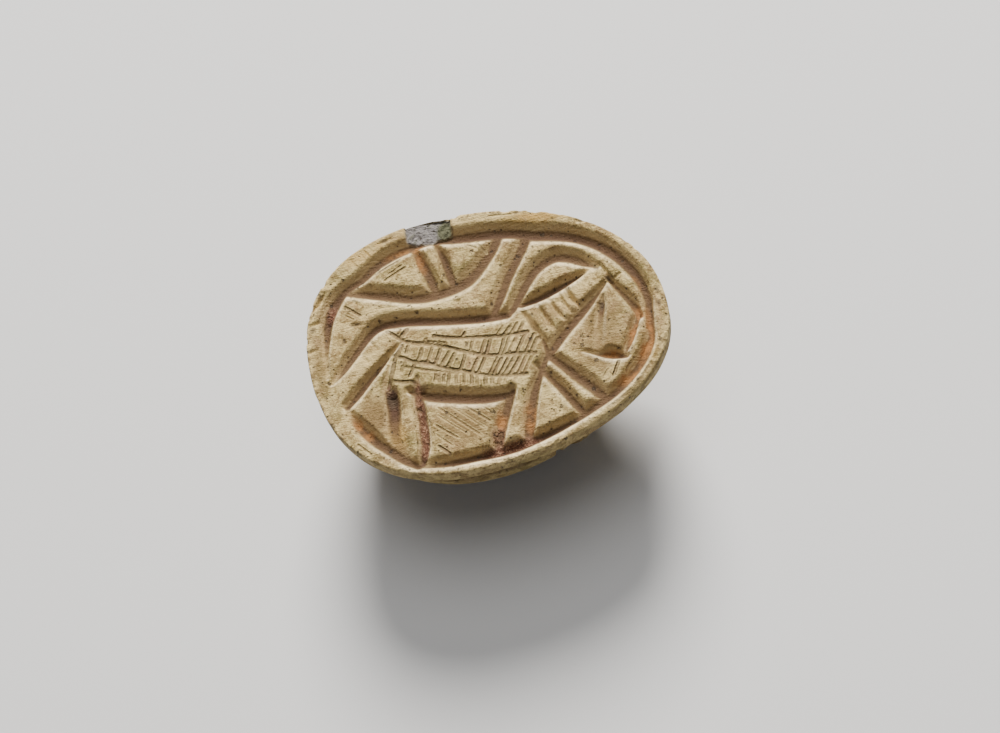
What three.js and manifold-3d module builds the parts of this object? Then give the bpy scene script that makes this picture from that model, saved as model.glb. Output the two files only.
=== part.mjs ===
// Scarab amulet carved in steatite, lying on its domed back with the carved base up.
// X runs along the beetle with its head at +X, Y across it, and Z up from the worn
// spot that it lies on. Every size is in millimetres.

import * as THREE from 'three';
import { mergeVertices } from 'three/addons/utils/BufferGeometryUtils.js';
import Module from 'manifold-3d';

const wasm = await Module();
wasm.setup();

// Driving sizes
const length = 17.5;
const width = 13.4;
const height = 7.7;
const plinthThickness = 1.0;
const edgeWear = 0.13;
const cornerBevel = 0.15;
const grooveDepth = 0.42;
const boreDiameter = 1.6;
const boreBelowFace = 2.4;
const wingEdgeBelowFace = 3.4;
const wingInset = 0.95;
const waistInset = 1.4;
const headSetback = 1.9;
const headWidth = 5.2;
const headBelowFace = 5.0;
const noseWidth = 3.3;
const noseInset = 0.6;
const noseBelowFace = 3.7;
const legWidth = 0.9;
const backLineDepth = 0.2;
const backLineWidth = 0.42;
const restLength = 3.6;
const restWidth = 2.6;

// How finely curves are cut into facets
const planSteps = 80;
const strokeSteps = 2;
const backLineSteps = 14;
const boreSides = 20;

const overlap = 0.3;
const toolRise = 0.35;
const sliver = 0.004;
const up = new THREE.Vector3(0, 0, 1);

// Levels, up from the spot that the amulet lies on
const boreZ = height - boreBelowFace;
const faceZ = height;
const plinthZ = height - plinthThickness;
const wingZ = height - wingEdgeBelowFace;

// The plan is a superellipse, wider at the tail and fuller along its lower side,
// and cut by hand, so a few small waves run round it.
const planPower = 2.35;
const tailFullness = 0.094;
const planWaves = [
  [1, 'sin', -0.0136],
  [2, 'sin', -0.006],
  [3, 'cos', 0.0078],
  [3, 'sin', 0.0018],
  [4, 'cos', 0.0068],
  [4, 'sin', -0.0077],
];

function superPoint(angle, power) {
  const c = Math.cos(angle);
  const s = Math.sin(angle);
  const reach = (Math.abs(c) ** power + Math.abs(s) ** power) ** (1 / power);
  return [c / reach, s / reach];
}

function rawPlanPoint(angle) {
  const wave = planWaves.reduce((sum, [n, kind, size]) => sum + size * Math[kind](n * angle), 1);
  const [x, y] = superPoint(angle, planPower);
  return [x * wave, y * wave * (1 - tailFullness * x * wave)];
}

const angles = Array.from({ length: planSteps }, (_, i) => (i / planSteps) * 2 * Math.PI);
const rawPlan = angles.map(rawPlanPoint);

function span(values) {
  const low = Math.min(...values);
  const high = Math.max(...values);
  return { middle: (low + high) / 2, half: (high - low) / 2 };
}

const planX = span(rawPlan.map((p) => p[0]));
const planY = span(rawPlan.map((p) => p[1]));

// A ring of the plan at height z, drawn in from the plate's edge by an inset that may
// be one size or a function of the angle.
function planRing(z, inset) {
  return angles.map((angle, i) => {
    const cut = typeof inset === 'function' ? inset(angle) : inset;
    const x = ((rawPlan[i][0] - planX.middle) / planX.half) * (length / 2 - cut);
    const y = ((rawPlan[i][1] - planY.middle) / planY.half) * (width / 2 - cut);
    return new THREE.Vector3(x, y, z);
  });
}

// The lower right corner of the plate is rubbed more than the rest of its edge.
const bevelAngle = -0.72;
const bevelReach = 0.75;

function edgeBevel(angle) {
  const away = Math.atan2(Math.sin(angle - bevelAngle), Math.cos(angle - bevelAngle));
  const share = Math.max(0, 1 - (away / bevelReach) ** 2) ** 2;
  return edgeWear + cornerBevel * share;
}

// A closed solid through rings of equal count, with a flat fan at each end.
// The rings run anticlockwise as seen from the far end.
function loft(rings) {
  const count = rings[0].length;
  const vertices = rings.flat();
  const middles = [rings[0], rings[rings.length - 1]].map((ring) =>
    ring.reduce((sum, p) => sum.add(p), new THREE.Vector3()).divideScalar(count));
  const first = vertices.length;
  const last = first + 1;
  const index = [];
  for (let j = 0; j < count; j += 1) {
    const k = (j + 1) % count;
    index.push(first, k, j);
    for (let i = 0; i < rings.length - 1; i += 1) {
      const a = i * count;
      const b = a + count;
      index.push(a + j, a + k, b + k, a + j, b + k, b + j);
    }
    const end = (rings.length - 1) * count;
    index.push(last, end + j, end + k);
  }
  const geometry = new THREE.BufferGeometry().setFromPoints([...vertices, ...middles]);
  geometry.setIndex(index);
  return toSolid(geometry);
}

function toSolid(geometry) {
  geometry.deleteAttribute('normal');
  geometry.deleteAttribute('uv');
  const merged = mergeVertices(geometry, 1e-4);
  const vertProperties = new Float32Array(merged.attributes.position.array);
  const triVerts = new Uint32Array(merged.index.array);
  return new wasm.Manifold(new wasm.Mesh({ numProp: 3, vertProperties, triVerts }));
}

function toGeometry(solid) {
  const { vertProperties, triVerts } = solid.getMesh();
  const geometry = new THREE.BufferGeometry();
  geometry.setAttribute('position', new THREE.BufferAttribute(new Float32Array(vertProperties), 3));
  geometry.setIndex(new THREE.BufferAttribute(new Uint32Array(triVerts), 1));
  return geometry;
}

const joined = (solids) => solids.reduce((sum, solid) => sum.add(solid));
const without = (solid, tools) => tools.reduce((left, tool) => left.subtract(tool), solid);

// A smooth run through stations of any number of values, each span cut into equal steps
function smoothRun(stations, steps) {
  const at = (i) => stations[Math.min(Math.max(i, 0), stations.length - 1)];
  const run = [];
  for (let i = 0; i < stations.length - 1; i += 1) {
    const [p, q, r, s] = [at(i - 1), at(i), at(i + 1), at(i + 2)];
    for (let j = 0; j < steps; j += 1) {
      const t = j / steps;
      run.push(q.map((_, k) => 0.5 * (2 * q[k] + (r[k] - p[k]) * t
        + (2 * p[k] - 5 * q[k] + 4 * r[k] - s[k]) * t ** 2
        + (3 * q[k] - p[k] - 3 * r[k] + s[k]) * t ** 3)));
    }
  }
  run.push(at(stations.length - 1));
  return run;
}

// A bar swept along points: each section lies across the path, and sectionAt(i) gives
// its corners as [sideways, outward], anticlockwise as seen from the far end.
function sweep(points, outward, sectionAt) {
  const rings = points.map((point, i) => {
    const before = points[Math.max(i - 1, 0)];
    const after = points[Math.min(i + 1, points.length - 1)];
    const along = after.clone().sub(before);
    const side = outward[i].clone().cross(along).normalize();
    return sectionAt(i).map(([s, u]) =>
      point.clone().addScaledVector(side, s).addScaledVector(outward[i], u));
  });
  return loft(rings);
}

// A chisel cut: wide at the surface and narrow at its floor, standing proud of the stone
// by toolRise so that it cuts the surface cleanly
function chisel(points, outward, widths, depths) {
  const floorShare = 0.34;
  return sweep(points, outward, (i) => {
    const half = widths[i] / 2;
    const floor = half * floorShare;
    const top = half + ((half - floor) * toolRise) / depths[i];
    return [[-floor, -depths[i]], [floor, -depths[i]], [top, toolRise], [-top, toolRise]];
  });
}

// The carving of the base, drawn on a plate of drawnLength by drawnWidth. Each station
// of a stroke is [x, y, width, share of the full groove depth].
const drawnLength = 17.5;
const drawnWidth = 13.4;
const drawingMiddle = [0.01, -0.345];

const carving = {
  borderTop: [[-7.88, -0.9, 0.3, 0.3], [-7.85, 0.2, 0.45, 0.6], [-7.72, 1.2, 0.6, 0.9],
    [-7.5, 2.2, 0.75, 1.15], [-7.05, 3.05, 0.9, 1.1], [-6.45, 3.62, 0.75, 1], [-5.6, 4.05, 0.8, 1],
    [-4.8, 4.6, 0.85, 1], [-4, 4.95, 0.9, 1], [-3, 5.2, 0.85, 1], [-2, 5.32, 0.75, 1],
    [-0.8, 5.22, 0.95, 1.05], [0, 5.15, 1, 1.1], [1, 5.05, 1, 1.1], [2, 4.88, 0.95, 1.1],
    [3, 4.55, 1.05, 1.1], [4, 4.32, 1.05, 1.1], [5, 3.95, 0.9, 1.1], [5.9, 3.4, 0.9, 1.1],
    [6.6, 2.75, 0.9, 1.1], [7.2, 1.95, 0.85, 1.1], [7.65, 1, 0.7, 1.1], [7.85, 0, 0.65, 1],
    [7.8, -0.8, 0.6, 1], [7.74, -1.5, 0.55, 1], [7.65, -2.05, 0.6, 1], [7.38, -2.6, 0.7, 1],
    [6.98, -3.18, 0.72, 1], [6.45, -3.72, 0.72, 1], [5.85, -4.22, 0.72, 1], [5.2, -4.62, 0.72, 1],
    [4.4, -5, 0.7, 1], [3.5, -5.42, 0.6, 1], [2.5, -5.75, 0.65, 1.1], [1.5, -6, 0.75, 1.2],
    [0.5, -6.2, 0.78, 1.25], [-0.5, -6.3, 0.75, 1.25], [-1.5, -6.33, 0.7, 1.1],
    [-2.5, -6.35, 0.68, 1], [-3.4, -6.3, 0.62, 0.8], [-4.1, -6.25, 0.5, 0.6]],
  borderCorner: [[-7.15, -2.75, 0.35, 0.4], [-6.75, -3.55, 0.72, 0.9], [-6.1, -4.45, 0.8, 1],
    [-5.45, -5.1, 0.8, 1], [-4.85, -5.7, 0.75, 1], [-4.2, -6.2, 0.6, 1]],
  backChannel: [[-7.75, -1.25, 0.3, 0.4], [-7.15, -0.62, 0.6, 0.85], [-6.6, 0, 0.7, 1],
    [-6, 0.65, 0.72, 1], [-5.5, 1.12, 0.78, 1.1], [-4.95, 1.36, 0.82, 1.1], [-4.3, 1.38, 0.88, 1.1],
    [-3.5, 1.3, 0.88, 1.1], [-2.5, 1.1, 0.86, 1.05], [-1.5, 0.92, 0.86, 1.05],
    [-0.5, 0.77, 0.86, 1.1], [0.3, 0.68, 0.85, 1.1], [1.1, 0.62, 0.75, 1]],
  leftOfHorn: [[0.45, 0.8, 0.7, 1], [0.9, 1.6, 0.78, 1], [1.3, 2.35, 0.8, 1],
    [1.72, 3.02, 0.82, 1], [2.2, 3.75, 0.86, 1], [2.6, 4.45, 0.9, 1]],
  upperChannel: [[-6.35, 3.42, 0.6, 0.8], [-5.5, 3.2, 0.8, 0.95], [-4.5, 2.9, 0.92, 1],
    [-3.5, 2.56, 0.96, 1], [-2.7, 2.42, 1, 1], [-1.9, 2.45, 1, 1], [-1.1, 2.6, 1.05, 1],
    [-0.45, 2.88, 1.08, 1], [0.12, 3.35, 1, 1], [0.68, 3.95, 0.9, 1], [1.05, 4.45, 0.85, 1],
    [1.35, 4.95, 0.8, 1]],
  firstUpperCut: [[-2.88, 4.98, 0.4, 0.7], [-2.62, 4.3, 0.7, 0.85], [-2.4, 3.55, 0.76, 0.95],
    [-2.2, 2.7, 0.7, 1]],
  secondUpperCut: [[-1.78, 5.12, 0.22, 0.6], [-1.5, 4.3, 0.56, 0.85], [-1.35, 3.5, 0.66, 0.95],
    [-1.25, 2.75, 0.66, 1]],
  insideHorn: [[1.35, 0.75, 0.6, 1], [1.88, 1.5, 0.75, 1], [2.32, 2.12, 0.8, 1],
    [2.85, 2.68, 0.86, 1], [3.5, 3.02, 0.9, 1], [4.1, 3.08, 0.9, 1], [4.7, 2.85, 0.86, 1],
    [5.2, 2.52, 0.75, 0.9], [5.8, 2.12, 0.4, 0.6]],
  aboveNeck: [[1.9, 0.95, 0.55, 1], [2.7, 1.12, 0.66, 1.1], [3.5, 1.36, 0.66, 1.1],
    [4.2, 1.62, 0.6, 1], [4.8, 1.82, 0.42, 0.85], [5.4, 2.02, 0.2, 0.4]],
  belowNeck: [[6.05, 1.2, 0.25, 0.7], [5.5, 0.7, 0.5, 0.8], [4.9, 0.18, 0.72, 0.95],
    [4.3, -0.35, 0.78, 1], [3.7, -0.87, 0.8, 1], [3.2, -1.38, 0.8, 1], [2.7, -1.95, 0.72, 0.9]],
  shoulder: [[1.95, 0.4, 0.2, 0.4], [2.3, -0.4, 0.32, 0.5], [2.62, -1.2, 0.4, 0.6],
    [2.75, -1.9, 0.45, 0.8]],
  cheek: [[6.2, 1.45, 0.35, 1], [6.55, 0.8, 0.45, 0.9], [6.92, 0.2, 0.6, 0.9],
    [7.2, -0.35, 0.62, 1], [7.35, -0.85, 0.5, 1]],
  frontEdge: [[7.3, -0.7, 0.45, 0.9], [7.02, -1.28, 0.5, 0.9], [6.75, -1.85, 0.5, 0.9],
    [6.45, -2.38, 0.42, 0.8], [6.2, -2.8, 0.2, 0.4]],
  frontHollow: [[5.72, 0.4, 0.2, 0.4], [5.6, -0.3, 0.45, 0.55], [5.42, -1.1, 0.5, 0.35],
    [5.22, -1.9, 0.4, 0.2]],
  frontNotch: [[4.3, -2.13, 0.15, 0.3], [5, -2.35, 0.42, 0.7], [5.6, -2.5, 0.7, 1.1],
    [6.1, -2.66, 0.6, 1], [6.4, -2.8, 0.35, 0.7]],
  chestRight: [[2.8, -1.95, 0.65, 1], [3.35, -2.58, 0.76, 1], [3.95, -3.32, 0.84, 1],
    [4.5, -3.94, 0.9, 1], [4.98, -4.55, 0.95, 1]],
  chestLeft: [[2.2, -2.4, 0.5, 0.9], [2.8, -3.3, 0.6, 0.95], [3.3, -4.12, 0.66, 1],
    [3.85, -5.05, 0.7, 1]],
  frontLegRight: [[2.15, -2.75, 0.45, 0.8], [1.78, -3.55, 0.72, 1], [1.52, -4.3, 0.8, 1],
    [1.32, -5, 0.85, 1.05], [1.15, -5.75, 0.8, 1.1]],
  frontLegLeft: [[0.72, -3.35, 0.6, 1], [0.35, -4.1, 0.78, 1], [0.05, -4.8, 0.78, 1],
    [-0.2, -5.45, 0.78, 1.05], [-0.35, -6.05, 0.75, 1.1]],
  belly: [[-4.05, -2.35, 0.45, 0.9], [-3.2, -2.75, 0.88, 1.05], [-2.2, -3.05, 0.95, 1.05],
    [-1.2, -3.3, 0.95, 1.05], [-0.3, -3.46, 0.9, 1.05], [0.6, -3.5, 0.75, 1]],
  hindLegLeft: [[-4.72, -0.62, 0.15, 0.3], [-5.02, -1.3, 0.26, 0.5], [-5.1, -1.9, 0.6, 0.9],
    [-4.98, -2.5, 0.85, 1.3], [-4.98, -3.2, 0.9, 1.2], [-5.1, -4.1, 1, 0.75], [-5.1, -4.9, 1, 0.6],
    [-4.8, -5.6, 0.8, 0.75]],
  hindLegRight: [[-3.6, -1.75, 0.2, 0.5], [-3.76, -2.4, 0.55, 1], [-3.7, -3.3, 0.66, 1.1],
    [-3.7, -4.3, 0.66, 1.1], [-3.76, -5.3, 0.62, 1.1], [-4, -6.1, 0.55, 1.1]],
  belowTail: [[-4.1, 0.2, 0.14, 0.35], [-4.7, -0.25, 0.32, 0.7], [-5.3, -0.78, 0.48, 0.95],
    [-6, -1.4, 0.6, 1], [-6.6, -1.98, 0.66, 1], [-7.15, -2.5, 0.55, 0.9]],
  topChip: [[-3.12, 6, 1.15, 0.62], [-2.3, 6.03, 1.15, 0.75], [-0.85, 6.05, 1.1, 0.66]],
};

// Shallow lines scratched along the body and across the neck
const scratches = {
  bodyUpper: [[-3.7, 0.25], [-2.5, 0.05], [-1, -0.3], [0.4, -0.48], [2.2, -0.5]],
  bodyMiddle: [[-4, 0.12], [-2.5, -0.42], [-1, -1.03], [0.5, -1.4], [2.2, -1.78]],
  bodyLower: [[-4.6, -0.42], [-3.3, -1.08], [-1.7, -1.78], [-0.3, -2.33], [1.7, -2.76]],
  collarOne: [[2.72, 0.75], [2.95, 0.1], [3.2, -0.6]],
  collarTwo: [[3.35, 0.7], [3.5, 0.2], [3.75, -0.2]],
  collarThree: [[4.12, 1], [4.28, 0.6], [4.45, 0.3]],
  rump: [[-4.85, 0.9], [-4.45, 0.45], [-4.12, 0.15]],
};
const scratchWidth = 0.16;
const scratchShare = 0.26;

const drawnScale = (length / drawnLength + width / drawnWidth) / 2;

function faceStroke(stations, steps) {
  const run = smoothRun(stations, steps);
  const points = run.map(([x, y]) => new THREE.Vector3(
    ((x - drawingMiddle[0]) * length) / drawnLength,
    ((y - drawingMiddle[1]) * width) / drawnWidth,
    faceZ,
  ));
  const widths = run.map((station) => station[2] * drawnScale);
  const depths = run.map((station) => station[3] * grooveDepth);
  return chisel(points, points.map(() => up), widths, depths);
}

function faceTools() {
  const strokes = Object.values(carving).map((stations) => faceStroke(stations, strokeSteps));
  const lines = Object.values(scratches).map((points) => {
    const last = points.length - 1;
    const stations = points.map(([x, y], i) => {
      const share = i === 0 || i === last ? scratchShare / 2 : scratchShare;
      return [x, y, scratchWidth, share];
    });
    return faceStroke(stations, strokeSteps - 1);
  });
  return [...strokes, ...lines];
}

function plinth() {
  return loft([
    planRing(plinthZ, edgeWear),
    planRing(plinthZ + edgeWear, 0),
    planRing(faceZ - plinthThickness * 0.35, (angle) => (edgeBevel(angle) - edgeWear) * 0.25),
    planRing(faceZ - edgeWear, (angle) => (edgeBevel(angle) - edgeWear) * 0.8),
    planRing(faceZ, edgeBevel),
  ]);
}

// The back is a superellipsoid over its own oval, set back from the head end.
// share runs from 1 at the edge of the wing cases to 0 at the crown.
const back = {
  middle: -headSetback / 2,
  halfLength: length / 2 - wingInset - headSetback / 2,
  halfWidth: width / 2 - wingInset,
  planPower: 2.15,
  risePower: 2.2,
  tailFullness: 0.06,
};
const flatShare = restLength / 2 / back.halfLength;
const flatSquash = restWidth / 2 / back.halfWidth / flatShare;
const crownDrop = wingZ / Math.sqrt(1 - flatShare ** back.risePower);

function backHeight(share) {
  return wingZ - crownDrop * Math.sqrt(Math.max(0, 1 - share ** back.risePower));
}

function backPlan(angle, share) {
  const [x, y] = superPoint(angle, back.planPower);
  const squash = THREE.MathUtils.lerp(flatSquash, 1, (share - flatShare) / (1 - flatShare));
  return [
    back.middle + x * back.halfLength * share,
    y * back.halfWidth * share * squash * (1 - back.tailFullness * x),
  ];
}

function backRing(share) {
  const z = share <= flatShare ? 0 : backHeight(share);
  return angles.map((angle) => new THREE.Vector3(...backPlan(angle, share), z));
}

function body() {
  const shares = [flatShare, 0.34, 0.42, 0.5, 0.58, 0.66, 0.74, 0.81, 0.87, 0.92, 0.96, 0.985, 1];
  const waist = (wingEdgeBelowFace - plinthThickness) / 2;
  return loft([
    ...shares.map(backRing),
    planRing(wingZ + waist * 0.3, waistInset * 0.95),
    planRing(wingZ + waist, waistInset * 1.12),
    planRing(plinthZ + overlap, waistInset),
  ]);
}

// The head narrows to the shovel-shaped nose and hangs from the plate's front end.
function head() {
  const root = back.middle + back.halfLength * 0.72;
  const tip = length / 2 - noseInset;
  const stations = [
    [0, 0, 0], [0.3, 0.1, 0.16], [0.55, 0.28, 0.5], [0.8, 0.6, 0.86], [0.94, 0.84, 1], [1, 1, 1.15],
  ];
  const sides = 20;
  const lerp = THREE.MathUtils.lerp;
  const rings = stations.map(([along, narrowing, rise]) => {
    const halfWidth = lerp(headWidth / 2, noseWidth / 2, narrowing);
    const low = faceZ - lerp(headBelowFace, noseBelowFace, rise);
    const middleZ = (low + plinthZ + overlap) / 2;
    const halfHeight = (plinthZ + overlap - low) / 2;
    return Array.from({ length: sides }, (_, i) => {
      const [y, z] = superPoint((i / sides) * 2 * Math.PI, 3.2);
      return new THREE.Vector3(lerp(root, tip, along), y * halfWidth, middleZ + z * halfHeight);
    });
  });
  return loft(rings);
}

// Legs lie folded along the waist, three to a side, each a low rounded ridge that rises
// from the wing edge to the plate. Each is [from x, to x] as shares of the waist's half length.
const legs = [[0.4, 0.9], [0.07, -0.36], [-0.41, -0.94]];

function leg([from, to], side) {
  const steps = 8;
  const sides = 8;
  const run = Array.from({ length: steps + 1 }, (_, i) => i / steps);
  const inset = waistInset * 1.05;
  const points = run.map((t) => {
    const share = THREE.MathUtils.lerp(from, to, t);
    const x = share * (length / 2 - inset);
    const half = (width / 2 - inset) * (1 - Math.abs(share) ** planPower) ** (1 / planPower);
    const y = side * half * (1 - tailFullness * share);
    const z = THREE.MathUtils.lerp(wingZ - legWidth * 0.1, plinthZ + legWidth * 0.1, t ** 0.8);
    return new THREE.Vector3(x, y, z);
  });
  const outward = points.map(({ x, y }) => {
    const slopeX = Math.sign(x) * (Math.abs(x) / length) ** (planPower - 1) / length;
    const slopeY = Math.sign(y) * (Math.abs(y) / width) ** (planPower - 1) / width;
    return new THREE.Vector3(slopeX, slopeY, 0).normalize();
  });
  return sweep(points, outward, (i) => {
    const radius = (legWidth / 2) * (0.8 + 0.3 * Math.sin(Math.PI * run[i]));
    return Array.from({ length: sides }, (_, k) => {
      const angle = ((k + 0.5) / sides) * 2 * Math.PI;
      return [radius * Math.cos(angle), radius * Math.sin(angle)];
    });
  });
}

// Lines cut into the back: where the wing cases start, between them, and at the shoulders
function onBack(x, y) {
  const u = (x - back.middle) / back.halfLength;
  const v = y / (back.halfWidth * (1 - back.tailFullness * u));
  const share = (Math.abs(u) ** back.planPower + Math.abs(v) ** back.planPower) ** (1 / back.planPower);
  return new THREE.Vector3(x, y, Math.max(0, backHeight(Math.min(share, 1))));
}

function backNormal(x, y) {
  const step = 0.05;
  const slopeX = (onBack(x + step, y).z - onBack(x - step, y).z) / (2 * step);
  const slopeY = (onBack(x, y + step).z - onBack(x, y - step).z) / (2 * step);
  return new THREE.Vector3(slopeX, slopeY, -1).normalize();
}

function backLine(path, size) {
  const run = Array.from({ length: backLineSteps + 1 }, (_, i) => path(i / backLineSteps));
  const points = run.map(([x, y]) => onBack(x, y));
  const normals = run.map(([x, y]) => backNormal(x, y));
  const widths = run.map(() => backLineWidth * size);
  const depths = run.map(() => backLineDepth * size);
  return chisel(points, normals, widths, depths);
}

// Places along the back are shares of its half length, and across it of its half width.
const collarAt = 0.36;
const collarReach = 0.88;
const collarBow = 0.13;
const seamEnd = -0.93;
const shoulderFrom = [0.4, 0.5];
const shoulderTo = [0.21, 0.63];
const lesserLine = 0.85;

function backTools() {
  const place = ([along, across]) => [back.middle + along * back.halfLength, across * back.halfWidth];
  const between = (a, b, t) => [THREE.MathUtils.lerp(a[0], b[0], t), THREE.MathUtils.lerp(a[1], b[1], t)];
  const collar = (t) => {
    const across = THREE.MathUtils.lerp(-collarReach, collarReach, t);
    return place([collarAt + collarBow * across ** 2, across]);
  };
  const wingSeam = (t) => place(between([collarAt, 0], [seamEnd, 0], t));
  const shoulders = [1, -1].map((side) => {
    const from = [shoulderFrom[0], side * shoulderFrom[1]];
    const to = [shoulderTo[0], side * shoulderTo[1]];
    return backLine((t) => place(between(from, to, t)), lesserLine);
  });
  return [backLine(collar, 1), backLine(wingSeam, lesserLine), ...shoulders];
}

function bore() {
  const geometry = new THREE.CylinderGeometry(boreDiameter / 2, boreDiameter / 2, length * 1.2, boreSides);
  geometry.rotateZ(Math.PI / 2);
  geometry.translate(0, 0, boreZ);
  return toSolid(geometry);
}

function scarab() {
  const legSolids = legs.flatMap((reach) => [1, -1].map((side) => leg(reach, side)));
  const stone = joined([plinth(), body(), head(), ...legSolids]);
  const carved = without(stone, [...faceTools(), ...backTools(), bore()]).simplify(sliver);
  const material = new THREE.MeshStandardMaterial({ color: 0xb9a27c, roughness: 0.85, metalness: 0 });
  const mesh = new THREE.Mesh(toGeometry(carved), material);
  mesh.name = 'scarab';
  return mesh;
}

const amulet = new THREE.Group();
amulet.add(scarab());

export default amulet;
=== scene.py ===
import math
import bpy
import numpy as np
from mathutils import Matrix, Vector


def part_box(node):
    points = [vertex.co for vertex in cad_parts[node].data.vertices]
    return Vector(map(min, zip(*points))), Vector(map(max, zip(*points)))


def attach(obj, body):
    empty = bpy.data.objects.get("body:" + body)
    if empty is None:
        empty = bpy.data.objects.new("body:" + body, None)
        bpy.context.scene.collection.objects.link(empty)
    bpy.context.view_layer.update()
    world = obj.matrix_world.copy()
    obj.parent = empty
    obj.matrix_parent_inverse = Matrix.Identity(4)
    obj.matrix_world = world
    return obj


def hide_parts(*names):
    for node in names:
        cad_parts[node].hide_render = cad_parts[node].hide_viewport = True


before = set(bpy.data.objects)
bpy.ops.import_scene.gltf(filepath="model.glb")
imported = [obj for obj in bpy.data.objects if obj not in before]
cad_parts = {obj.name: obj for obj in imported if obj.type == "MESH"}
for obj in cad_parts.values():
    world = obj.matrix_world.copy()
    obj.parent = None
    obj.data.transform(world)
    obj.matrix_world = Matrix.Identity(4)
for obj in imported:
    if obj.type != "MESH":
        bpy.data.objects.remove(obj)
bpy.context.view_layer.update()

mm = 0.001
low, high = (np.array(corner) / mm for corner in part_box("scarab"))
length, width, height = high - low
lowCorner = np.array([-length / 2, -width / 2, 0.0])
highCorner = np.array([length / 2, width / 2, height])
print("scarab: %.1f x %.1f x %.1f mm" % (length, width, height))

# The plate and the beetle on it, in millimetres
stone = {
    "plinthThickness": 1.0,
    "edgeWear": 0.13,
    "cornerBevel": 0.15,
    "cornerDrop": 0.2,
    "grooveDepth": 0.42,
    "wingEdgeBelowFace": 3.4,
    "wingInset": 0.95,
    "waistInset": 1.4,
    "headSetback": 1.9,
    "headWidth": 5.2,
    "headBelowFace": 5.0,
    "noseWidth": 3.3,
    "noseInset": 0.6,
    "noseBelowFace": 3.7,
    "legWidth": 0.9,
    "boreDiameter": 1.6,
    "boreBelowFace": 2.4,
    "boreFlare": 0.1,
    "boreUnevenness": 0.03,
    "flareStart": 2.0,
    "flareEnd": 0.4,
    "backLineDepth": 0.2,
    "backLineWidth": 0.42,
    "restLength": 3.6,
    "restWidth": 2.6,
    "faceCells": (280, 204),
    "rasterStep": 0.04,
    "lipWear": 0.045,
    "fineWear": 0.022,
    # lipReach and lipAbove place the painted highlight on the window side of each groove
    "lipReach": 0.13,
    "lipAbove": 0.22,
    "strokeWidening": 1.15,
    "lineDepth": 0.08,
    "unevenness": 0.05,
    "rimNicks": 0.14,
}
faceZ = height
plinthZ = faceZ - stone["plinthThickness"]
wingZ = faceZ - stone["wingEdgeBelowFace"]
boreZ = faceZ - stone["boreBelowFace"]


# Numbers used everywhere

def smoothStep(edgeLow, edgeHigh, x):
    # 3t^2 - 2t^3, with t the share of the way from one edge to the other
    t = np.clip((x - edgeLow) / (edgeHigh - edgeLow), 0, 1)
    return t * t * (3 - 2 * t)


def mix(a, b, t):
    return a + (b - a) * t


def valueNoise(points, cell, seed):
    # smooth noise in -1..1: random values on a lattice, blended between its eight corners
    lattice = np.random.default_rng(seed).random((32, 32, 32)) * 2 - 1
    scaled = points / cell + 1000
    corner = np.floor(scaled).astype(int)
    t = scaled - corner
    t = t * t * (3 - 2 * t)
    total = np.zeros(len(points))
    for dx in (0, 1):
        for dy in (0, 1):
            for dz in (0, 1):
                i, j, k = ((corner + (dx, dy, dz)) % 32).T
                share = np.abs(1 - dx - t[:, 0]) * np.abs(1 - dy - t[:, 1]) * np.abs(1 - dz - t[:, 2])
                total += lattice[i, j, k] * share
    return total


def smoothRun(stations, steps):
    # Catmull-Rom through the stations, each span cut into equal steps
    s = np.array(stations, float)
    s = np.vstack([s[:1], s, s[-1:]])
    t = (np.arange(steps) / steps)[None, :, None]
    p, q, r, e = (s[k:len(s) - 3 + k, None, :] for k in range(4))
    run = 0.5 * (2 * q + (r - p) * t + (2 * p - 5 * q + 4 * r - e) * t ** 2
                 + (3 * q - p - 3 * r + e) * t ** 3)
    return np.vstack([run.reshape(-1, s.shape[1]), s[-1:]])


# The plan of the plate

planPower = 2.35
tailFullness = 0.094
planWaves = [(1, np.sin, -0.0136), (2, np.sin, -0.006), (3, np.cos, 0.0078),
             (3, np.sin, 0.0018), (4, np.cos, 0.0068), (4, np.sin, -0.0077)]


def superPoint(angle, power):
    # the point of a superellipse |x|^p + |y|^p = 1 in the direction of the angle
    c, s = np.cos(angle), np.sin(angle)
    reach = (np.abs(c) ** power + np.abs(s) ** power) ** (1 / power)
    return c / reach, s / reach


def rawPlan(angle):
    wave = 1 + sum(size * kind(n * angle) for n, kind, size in planWaves)
    x, y = superPoint(angle, planPower)
    return x * wave, y * wave * (1 - tailFullness * x * wave)


aroundX, aroundY = rawPlan(np.linspace(0, 2 * math.pi, 721))
planMiddle = ((aroundX.max() + aroundX.min()) / 2, (aroundY.max() + aroundY.min()) / 2)
planHalf = ((aroundX.max() - aroundX.min()) / 2, (aroundY.max() - aroundY.min()) / 2)


def planPoint(angle, inset):
    # the plate's outline, drawn in from its edge by an inset
    x, y = rawPlan(angle)
    return np.stack([(x - planMiddle[0]) / planHalf[0] * (length / 2 - inset),
                     (y - planMiddle[1]) / planHalf[1] * (width / 2 - inset)], -1)


def insideEdge(points):
    # how far a point is inside the plate's outline, measured towards the middle
    edge = planPoint(np.arctan2(points[:, 1], points[:, 0]), 0)
    return np.hypot(edge[:, 0], edge[:, 1]) - np.hypot(points[:, 0], points[:, 1])


def cornerShare(angle, middle=-0.72, reach=0.8):
    # 1 where the lower right corner is rubbed most, 0 away from it
    away = np.arctan2(np.sin(angle - middle), np.cos(angle - middle))
    return np.clip(1 - (away / reach) ** 2, 0, 1) ** 2


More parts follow.
